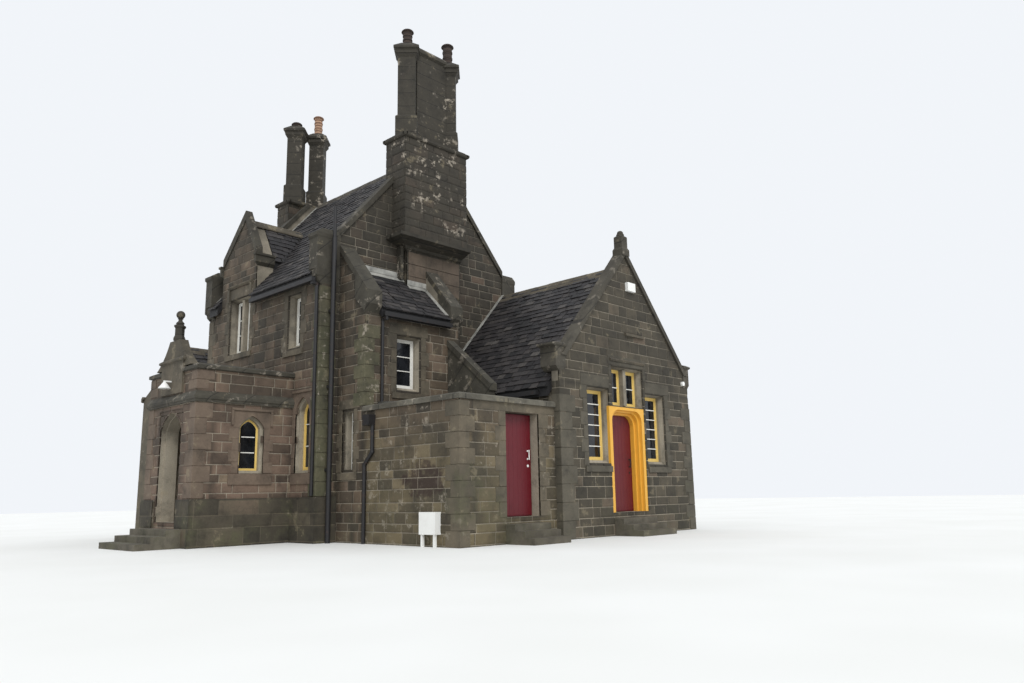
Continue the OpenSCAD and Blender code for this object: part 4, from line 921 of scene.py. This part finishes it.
blocks(
    "house.window_surrounds",
    surround(*UPPER_LIGHT)
    + surround(LEFT, 0.0, 3.2, 4.15, BAY_SILL, BAY_HEAD, 0.06)
    + surround(*EXTENSION_LIGHT)
    + [stone for light in REAR_LIGHTS for stone in surround(*light)]
    + surround(*OUTHOUSE_LIGHT),
    quoin_stone,
)
blocks(
    "wing.window_surrounds",
    surround(NEAR, WING_L, DOOR_LEFT, DOOR_LEFT + 0.7, SILL, TALL_HEAD, 0.13, (-1,))
    + surround(NEAR, WING_L, DOOR_MID + 0.82, TALL_RIGHT + TALL_W, SILL, TALL_HEAD, 0.13, (1,))
    + [
        box_on(NEAR, WING_L, x, x + 0.1, z, z + 0.136, DRESSED_OUT)
        for x in (DOOR_MID - 0.66, DOOR_MID + 0.7)
        for z in (3.53, 3.67)
    ]
    + [box_on(NEAR, WING_L, DOOR_MID - 0.68, DOOR_MID + 0.82, 3.81, 4.03, DRESSED_OUT)]
    + surround(*WING_SIDE_LIGHT),
    wing_quoin,
)

# Stones beside the lean-to doorway and the narrow extension window
side_stones = []
for i in range(7):
    low = FLOOR_H + i * 0.293
    for edge, side in ((1.7, -1), (2.67, 1)):
        ends = sorted((edge, edge + side * (0.3 if (i + (side > 0)) % 2 else 0.2)))
        side_stones.append(box_on(NEAR, LEAN_L, *ends, low + 0.003, low + 0.289, 0.018))
for edge, side in ((-0.66, -1), (-0.24, 1)):
    for i in range(5):
        ends = sorted((edge, edge + side * (0.2 if (i + (side > 0)) % 2 else 0.12)))
        side_stones.append(box_on(LEFT, -EXT_X, *ends, 1.46 + i * 0.27, 1.726 + i * 0.27, 0.018))
side_stones.append(box_on(LEFT, -EXT_X, -0.86, -0.1, 2.82, 3.02, 0.018))
side_stones.append(box_on(LEFT, -EXT_X, -0.8, -0.12, 1.3, 1.45, 0.04))
blocks("doorway.side_stones", side_stones, quoin_stone)


def arch_points(mid, w, z0, zs, r, steps=10):
    """Outline of a pointed opening, as the solids have it, from its left foot round."""
    chord = math.hypot(w / 2, r)
    rad = max(0.8 * w, chord * 0.52)
    d = math.sqrt(rad * rad - chord * chord / 4)
    cx, cz = -w / 4 + r / chord * d, zs + r / 2 - w / 2 / chord * d
    low = math.atan2(zs - cz, -w / 2 - cx)
    high = math.atan2(zs + r - cz, -cx)
    arc = [low + (high - low) * i / steps for i in range(steps + 1)]
    left = [(cx + rad * math.cos(t), cz + rad * math.sin(t)) for t in arc]
    both = left + [(-x, z) for x, z in reversed(left[:-1])]
    return [(mid - w / 2, z0)] + [(mid + x, z) for x, z in both] + [(mid + w / 2, z0)]


def ring(bm, inner, outer, out, at, proud, depth, closed=True):
    """Flat ring between two outlines of as many points, given thickness."""
    rows = []
    for level in (proud, -depth):
        for line in (inner, outer):
            row = []
            for a, z in line:
                reach = sum(out) * (at + level)
                co = (reach, a, z) if out[0] else (a, reach, z)
                row.append(bm.verts.new(co))
            rows.append(row)
    n = len(inner)
    for i in range(n if closed else n - 1):
        j = (i + 1) % n
        for p, q in ((0, 1), (1, 3), (3, 2), (2, 0)):
            bm.faces.new((rows[p][i], rows[p][j], rows[q][j], rows[q][i]))
    if not closed:
        for i in (0, n - 1):
            bm.faces.new([rows[k][i] for k in (0, 1, 3, 2)])


def mesh_piece(name, bm, finish, body=HOUSE):
    """A piece from a bmesh, its faces turned outwards."""
    bmesh.ops.recalc_face_normals(bm, faces=bm.faces[:])
    mesh = bpy.data.meshes.new(name)
    bm.to_mesh(mesh)
    bm.free()
    return add_piece(name, mesh, [finish], body)


# Pointed lights: out, face, middle, sill, springing, rise, how far the frame is set back
POINTED_W, JAMB_HALF = 0.46, 0.29
POINTED = [
    (LEFT, 0.0, PORCH_Y - 0.41, POINTED_SILL, 2.79, 0.3, 0.18),
    (LEFT, 0.0, PORCH_Y + PORCH_W + 1.25, POINTED_SILL, 2.79, 0.3, 0.18),
    (NEAR, -PORCH_Y, -PORCH_P / 2 + 0.13, POINTED_SILL, 2.44, 0.2, 0.15),
    (FAR, PORCH_Y + PORCH_W, -PORCH_P / 2 + 0.13, POINTED_SILL, 2.44, 0.2, 0.15),
]
labels = []
dress = bmesh.new()
for out, at, mid, z0, zs, r, _ in POINTED:
    inner = arch_points(mid, 2 * JAMB_HALF, z0 - SPLAY, zs, r + SPLAY)[1:-1]
    top, half = zs + r + 0.16, 0.43
    outer = []
    n = len(inner) - 1
    for i in range(n + 1):
        t = abs(i / n * 2 - 1)
        side = -1 if i < n / 2 else 1
        rise_up = top - zs
        path = (1 - t) * (rise_up + half)
        if path < rise_up:
            outer.append((mid + side * half, zs + path))
        else:
            outer.append((mid + side * (half - (path - rise_up)), top))
    ring(dress, inner, outer, out, at, DRESSED_OUT, 0.03, closed=False)
    for i in range(4):
        step = (zs - z0 + SPLAY) / 4
        low = z0 - SPLAY + i * step
        high = low + step - 0.004
        for side in (-1, 1):
            wide = 0.22 if (i + (side > 0)) % 2 else 0.14
            ends = sorted((mid + side * JAMB_HALF, mid + side * (JAMB_HALF + wide)))
            labels.append(box_on(out, at, *ends, low, high, DRESSED_OUT))
    labels.append(box_on(out, at, mid - 0.48, mid + 0.48, top, top + 0.055, 0.05))
    for side in (-1, 1):
        ends = sorted((mid + side * 0.43, mid + side * 0.48))
        labels.append(box_on(out, at, *ends, zs + 0.05, top + 0.02, 0.05))
    labels.append(box_on(out, at, mid - 0.5, mid + 0.5, z0 - 0.3, z0 - 0.07, 0.035))
mesh_piece("pointed_windows.heads", dress, plain_ashlar)
blocks("pointed_windows.stones", labels, plain_ashlar)

# Smooth panel on the near breast, and beside it a dark post that stands for the shadow line at the
# breast's left edge (painted shade)
blocks(
    "near_breast.panel",
    [
        box_on(NEAR, BREAST_OUT, x, x + 0.552, z, z + 0.3, 0.02)
        for x in (2.3, 2.86, 3.42)
        for z in (5.9, 6.21, 6.52)
    ],
    plain_ashlar,
)
# The post's dark sooty stone is painted shade: it fills the place where the breast's left edge casts its
# shadow line
blocks("near_breast.shadow_line_post", [box_on(NEAR, 0.0, 2.1, 2.19, 6.1, 6.95, 0.17, 0.0)], sooty_stone, 0.012)

# Window frames, sashes and bars: out, face, a0, a1, z0, z1, set back, columns, rows
yellow_windows = [
    (NEAR, WING_L, DOOR_LEFT, DOOR_LEFT + TALL_W, SILL, TALL_HEAD, FRAME_IN, 1, 6),
    (NEAR, WING_L, TALL_RIGHT, TALL_RIGHT + TALL_W, SILL, TALL_HEAD, FRAME_IN, 1, 6),
    (NEAR, WING_L, DOOR_MID - 0.5, DOOR_MID + 0.015, 2.91, 3.75, FRAME_IN, 1, 2),
    (NEAR, WING_L, DOOR_MID + 0.125, DOOR_MID + 0.64, 2.91, 3.75, FRAME_IN, 1, 2),
    (*WING_SIDE_LIGHT, FRAME_IN, 1, 4),
]
white_windows = [
    (*UPPER_LIGHT, FRAME_IN, 2, 3),
    (LEFT, 0.0, 3.2, 3.62, BAY_SILL, BAY_HEAD, FRAME_IN, 2, 3),
    (LEFT, 0.0, 3.73, 4.15, BAY_SILL, BAY_HEAD, FRAME_IN, 2, 3),
    (LEFT, -EXT_X, -0.6, -0.3, 1.52, 2.75, FRAME_IN, 1, 3),
    (*EXTENSION_LIGHT, FRAME_IN, 1, 3),
    (*OUTHOUSE_LIGHT, FRAME_IN, 1, 2),
] + [(*light, FRAME_IN, 2, 3) for light in REAR_LIGHTS]


def joinery(window):
    """Members of frame and sash, and the bars, of one rectangular light."""
    out, at, a0, a1, z0, z1, back, columns, rows = window
    face, depth, half_bar = at - back, 0.045, 0.011
    frame_bars, thin = [], []
    for low, high, w, front in ((z0, z1, 0.05, 0.0), (z0 + 0.05, z1 - 0.05, 0.028, -0.012)):
        b0, b1 = (a0, a1) if front == 0.0 else (a0 + 0.05, a1 - 0.05)
        frame_bars += [
            box_on(out, face, b0, b1, low, low + w, front, depth),
            box_on(out, face, b0, b1, high - w, high, front, depth),
            box_on(out, face, b0, b0 + w, low + w, high - w, front, depth),
            box_on(out, face, b1 - w, b1, low + w, high - w, front, depth),
        ]
    s0, s1, t0, t1 = a0 + 0.078, a1 - 0.078, z0 + 0.078, z1 - 0.078
    for i in range(1, columns):
        a = s0 + (s1 - s0) * i / columns
        thin.append(box_on(out, face, a - half_bar, a + half_bar, t0, t1, -0.004, 0.036))
    for i in range(1, rows):
        z = t0 + (t1 - t0) * i / rows
        thin.append(box_on(out, face, s0, s1, z - half_bar, z + half_bar, -0.002, 0.036))
    return frame_bars, thin


yellow_members, white_members = [], []
for window in yellow_windows:
    frame_bars, thin = joinery(window)
    yellow_members += frame_bars
    white_members += thin
for window in white_windows:
    frame_bars, thin = joinery(window)
    white_members += frame_bars + thin
pointed = bmesh.new()
for out, at, mid, z0, zs, r, back in POINTED:
    rims = ((POINTED_W, 0.0, r, 0.0), (POINTED_W - 0.1, 0.05, r - 0.05, -0.012))
    for w, inset, rr, front in rims:
        rim = 0.05 if inset == 0 else 0.026
        outline = arch_points(mid, w, z0 + inset, zs, rr)
        hollow = arch_points(mid, w - 2 * rim, z0 + inset + rim, zs, rr - rim)
        ring(pointed, hollow, outline, out, at - back, front, 0.045)
    for i in (1, 2):
        z = z0 + 0.05 + i * (zs + r - z0 - 0.1) / 3
        front = 0.008 if out[1] else -0.002
        ends = (mid - 0.155, mid + 0.155, z - 0.011, z + 0.011)
        white_members.append(box_on(out, at - back, *ends, front, 0.036))
yellow_frames = blocks("window_frames.yellow", yellow_members, cream, 0.003)
white_frames = blocks("window_frames.white", white_members, white, 0.002)
pointed_frames = mesh_piece("window_frames.pointed", pointed, cream)
for piece in (yellow_frames, white_frames, pointed_frames):
    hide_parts("window_frames")


# Doors: boards on the leaves, and their furniture
def door_boards(name, x0, x1, y, z0, z1, body):
    """Upright boards on a leaf whose front is at y."""
    count = round((x1 - x0) / 0.12)
    step = (x1 - x0) / count
    lefts = [x0 + i * step for i in range(count)]
    boxes = [
        (Vector((x, y - 0.006, z0)), Vector((x + step - 0.002, y + 0.003, z1))) for x in lefts
    ]
    blocks(name, boxes, crimson, 0.0025, body)


LEAN_LEAF_Y, WING_LEAF_Y = -LEAN_L + 0.21, -WING_L + 0.28
door_boards("lean_to_door.boards", 1.74, 2.63, LEAN_LEAF_Y, 0.53, 2.51, "lean_to_door")
door_boards("wing_door.boards", 5.11, 6.09, WING_LEAF_Y, 0.53, 2.8, "wing_door")


def rod(bm, a, b, r, sides=16):
    """Round bar from a to b."""
    a, b = Vector(a), Vector(b)
    turn = (b - a).to_track_quat("Z", "Y").to_matrix().to_4x4()
    turn.translation = (a + b) / 2
    bmesh.ops.create_cone(
        bm, cap_ends=True, segments=sides, radius1=r, radius2=r, depth=(b - a).length, matrix=turn
    )


def furniture(name, x, y, z, body, finish):
    """Pull handle on its two posts, with a lock plate under it."""
    bm = bmesh.new()
    rod(bm, (x, y - 0.05, z), (x, y - 0.05, z + 0.2), 0.011)
    for h in (0.02, 0.18):
        rod(bm, (x, y - 0.05, z + h), (x, y, z + h), 0.008)
        rod(bm, (x, y - 0.012, z + h), (x, y - 0.004, z + h), 0.02)
    rod(bm, (x, y - 0.014, z - 0.12), (x, y - 0.004, z - 0.12), 0.026)
    mesh_piece(name, bm, finish, body)


furniture("lean_to_door.handle", 2.55, LEAN_LEAF_Y, 1.62, "lean_to_door", enamel)
furniture("wing_door.handle", 5.98, WING_LEAF_Y, 1.5, "wing_door", iron)


# Ridge tiles
def ridge_tiles(name, start, along, length, fall, finish, tile=0.45, wing=0.19, lift=0.075):
    """Angled tiles along a ridge, each a little out of line."""
    along = Vector(along)
    side = along.cross(Vector((0, 0, 1)))
    bm = bmesh.new()
    layer = bm.verts.layers.float.new("tone")
    count = round(length / tile)
    step = length / count
    for i in range(count):
        own = luck.random()
        shift = (luck.random() - 0.5) * 0.008
        ends = []
        for s in (i * step, (i + 1) * step - 0.008):
            base = Vector(start) + along * s + Vector((0, 0, lift + shift))
            row = []
            for u, drop in ((-1, 0), (0, 0), (1, 0), (1, 0.028), (0, 0.035), (-1, 0.028)):
                co = base + side * (u * wing) - Vector((0, 0, abs(u) * wing * fall + drop))
                v = bm.verts.new(co)
                v[layer] = own
                row.append(v)
            ends.append(row)
        for k in range(6):
            j = (k + 1) % 6
            bm.faces.new((ends[0][k], ends[0][j], ends[1][j], ends[1][k]))
        bm.faces.new(ends[0])
        bm.faces.new(ends[1])
    mesh_piece(name, bm, finish)


ridge_tiles("main_roof.ridge_tiles", (3.1, 0.26, RIDGE), (0, 1, 0), 4.83, PITCH, quoin_stone)
wing_start = (WING_MID, -WING_L + 0.24, WING_RIDGE)
ridge_tiles("wing_roof.ridge_tiles", wing_start, (0, 1, 0), 3.88, PITCH, quoin_stone)
ridge_tiles("bay_roof.ridge_tiles", (0.2, BAY_MID, BAY_TOP), (1, 0, 0), 1.4, 1.2, quoin_stone, 0.4, 0.15)
ridge_tiles("outhouse_roof.ridge_tiles", (-0.07, OUT_MID, OUT_RIDGE), (1, 0, 0), 2.0, PITCH, quoin_stone)


# Lead flashings
def strip(bm, a, b, wide, thick=0.012):
    """Sheet from a to b, wide across and thick upwards."""
    a, b, wide = Vector(a), Vector(b), Vector(wide)
    lift = (b - a).cross(wide).normalized() * thick
    if lift.z < 0:
        lift = -lift
    low = [bm.verts.new(p) for p in (a, b, b + wide, a + wide)]
    top = [bm.verts.new(p + lift) for p in (a, b, b + wide, a + wide)]
    bm.faces.new(low)
    bm.faces.new(top)
    for i in range(4):
        j = (i + 1) % 4
        bm.faces.new((low[i], low[j], top[j], top[i]))


flash = bmesh.new()
over, lap = 0.068, 0.12
for x0, x1, y in ((0.83, 2.26, 0.0), (2.26, 2.85, -BREAST_OUT)):
    z = EXT_TOP + EXT_PITCH * y + over
    low_y, low_z = y - lap, z - lap * EXT_PITCH
    strip(flash, (x0, low_y, low_z), (x1, low_y, low_z), (0, lap, lap * EXT_PITCH))
    strip(flash, (x0, y - 0.02, z), (x1, y - 0.02, z), (0, 0.0, lap))
strip(
    flash,
    (2.74, -1.05, EXT_TOP - EXT_PITCH * 1.05 + over),
    (2.74, -BREAST_OUT, EXT_TOP - EXT_PITCH * BREAST_OUT + over),
    (0.11, 0, 0),
)
for x0, x1, y in ((3.24, 4.0, -BREAST_OUT), (4.0, WING_MID, 0.0)):
    z0 = WING_RIDGE - PITCH * (WING_MID - x0) + over + 0.015
    z1 = WING_RIDGE - PITCH * (WING_MID - x1) + over + 0.015
    strip(flash, (x0, y - 0.1, z0), (x1, y - 0.1, z1), (0, 0.1, 0))
strip(
    flash,
    (0.0, MAIN_L - 0.31, RIDGE - PITCH * 3.1 + over),
    (3.0, MAIN_L - 0.31, RIDGE - PITCH * 0.1 + over),
    (0, 0.11, 0),
)
mesh_piece("roofs.lead_flashings", flash, lead)


# Finish of each solid that stays
FINISHES = {
    "facade_wall": mortar, "rear_wall": mortar, "near_gable_wall": mortar, "far_gable_wall": mortar,
    "near_chimney_breast": sooty_stone, "far_chimney_breast": plain_ashlar,
    "near_chimney_stack": sooty_stone, "far_chimney_stack": sooty_stone,
    "near_chimney_shafts": sooty_stone, "far_chimney_shafts": sooty_stone, "chimney_pots": clay,
    "plinth_course": quoin_stone, "ground_floor": boards, "upper_floor": boards,
    "main_roof_porch_side": slates, "main_roof_rear_side": slates, "bay_roof": slates,
    "extension_roof": slates, "wing_roof": slates, "outhouse_roof": slates, "porch_roof": grey_lead,
    "near_gable_coping": coping_stone, "far_gable_coping": coping_stone, "bay_gable_coping": coping_stone,
    "hood_moulds": quoin_stone, "extension_front_wall": mortar, "extension_side_walls": mortar,
    "extension_copings": coping_stone, "raking_half_gable": coping_stone, "lean_to_side_wall": mortar,
    "lean_to_wall_beside_door": mortar, "lean_to_door_lintel": quoin_stone, "lean_to_roof": grey_lead,
    "lean_to_coping": flat_coping, "lean_to_door": crimson, "wing_door": crimson,
    "wing_front_wall_left": mortar, "wing_front_wall_right": mortar, "wing_front_gable": mortar,
    "wing_left_wall": mortar, "wing_right_wall": mortar, "wing_rear_wall": mortar,
    "wing_coping": wing_coping_stone, "outhouse_walls": mortar, "wing_door_surround": yellow,
    "door_hinges": iron, "porch_front_wall": mortar, "porch_side_walls": mortar,
    "porch_string_and_coping": coping_stone, "porch_shaped_gable": quoin_stone,
    "porch_finial": sooty_stone, "porch_buttress": quoin_stone, "entrance_steps": step_stone,
    "window_frames": white, "window_glass": glass, "gutters_and_pipes": iron,
    "wall_lamps": enamel, "meter_box": enamel,
}
for name, finish in FINISHES.items():
    for place in nodes[name].material_slots:
        place.material = finish


# Floor and soft studio light
bpy.ops.mesh.primitive_plane_add(size=160, location=(0, 0, 0))
floor = bpy.context.object
floor.name = "floor"


def floor_paint(net, place):
    wide = net.noise(place, 0.3, 2.0)
    return net.ramp(wide, [(0.3, srgb(226, 226, 222)), (0.7, srgb(232, 232, 229))]), None, 0, None


floor.data.materials.append(material("studio floor", floor_paint))
sun_data = bpy.data.lights.new("sun", "SUN")
sun_data.energy = 1.6
sun_data.angle = math.radians(25)
sun = bpy.data.objects.new("sun", sun_data)
sun.rotation_euler = (math.radians(48), 0, math.radians(-30))
bpy.context.collection.objects.link(sun)
world = bpy.data.worlds.new("world")
bpy.context.scene.world = world
world.use_nodes = True
world.node_tree.nodes["Background"].inputs["Color"].default_value = (0.93, 0.96, 1, 1)
world.node_tree.nodes["Background"].inputs["Strength"].default_value = 0.95
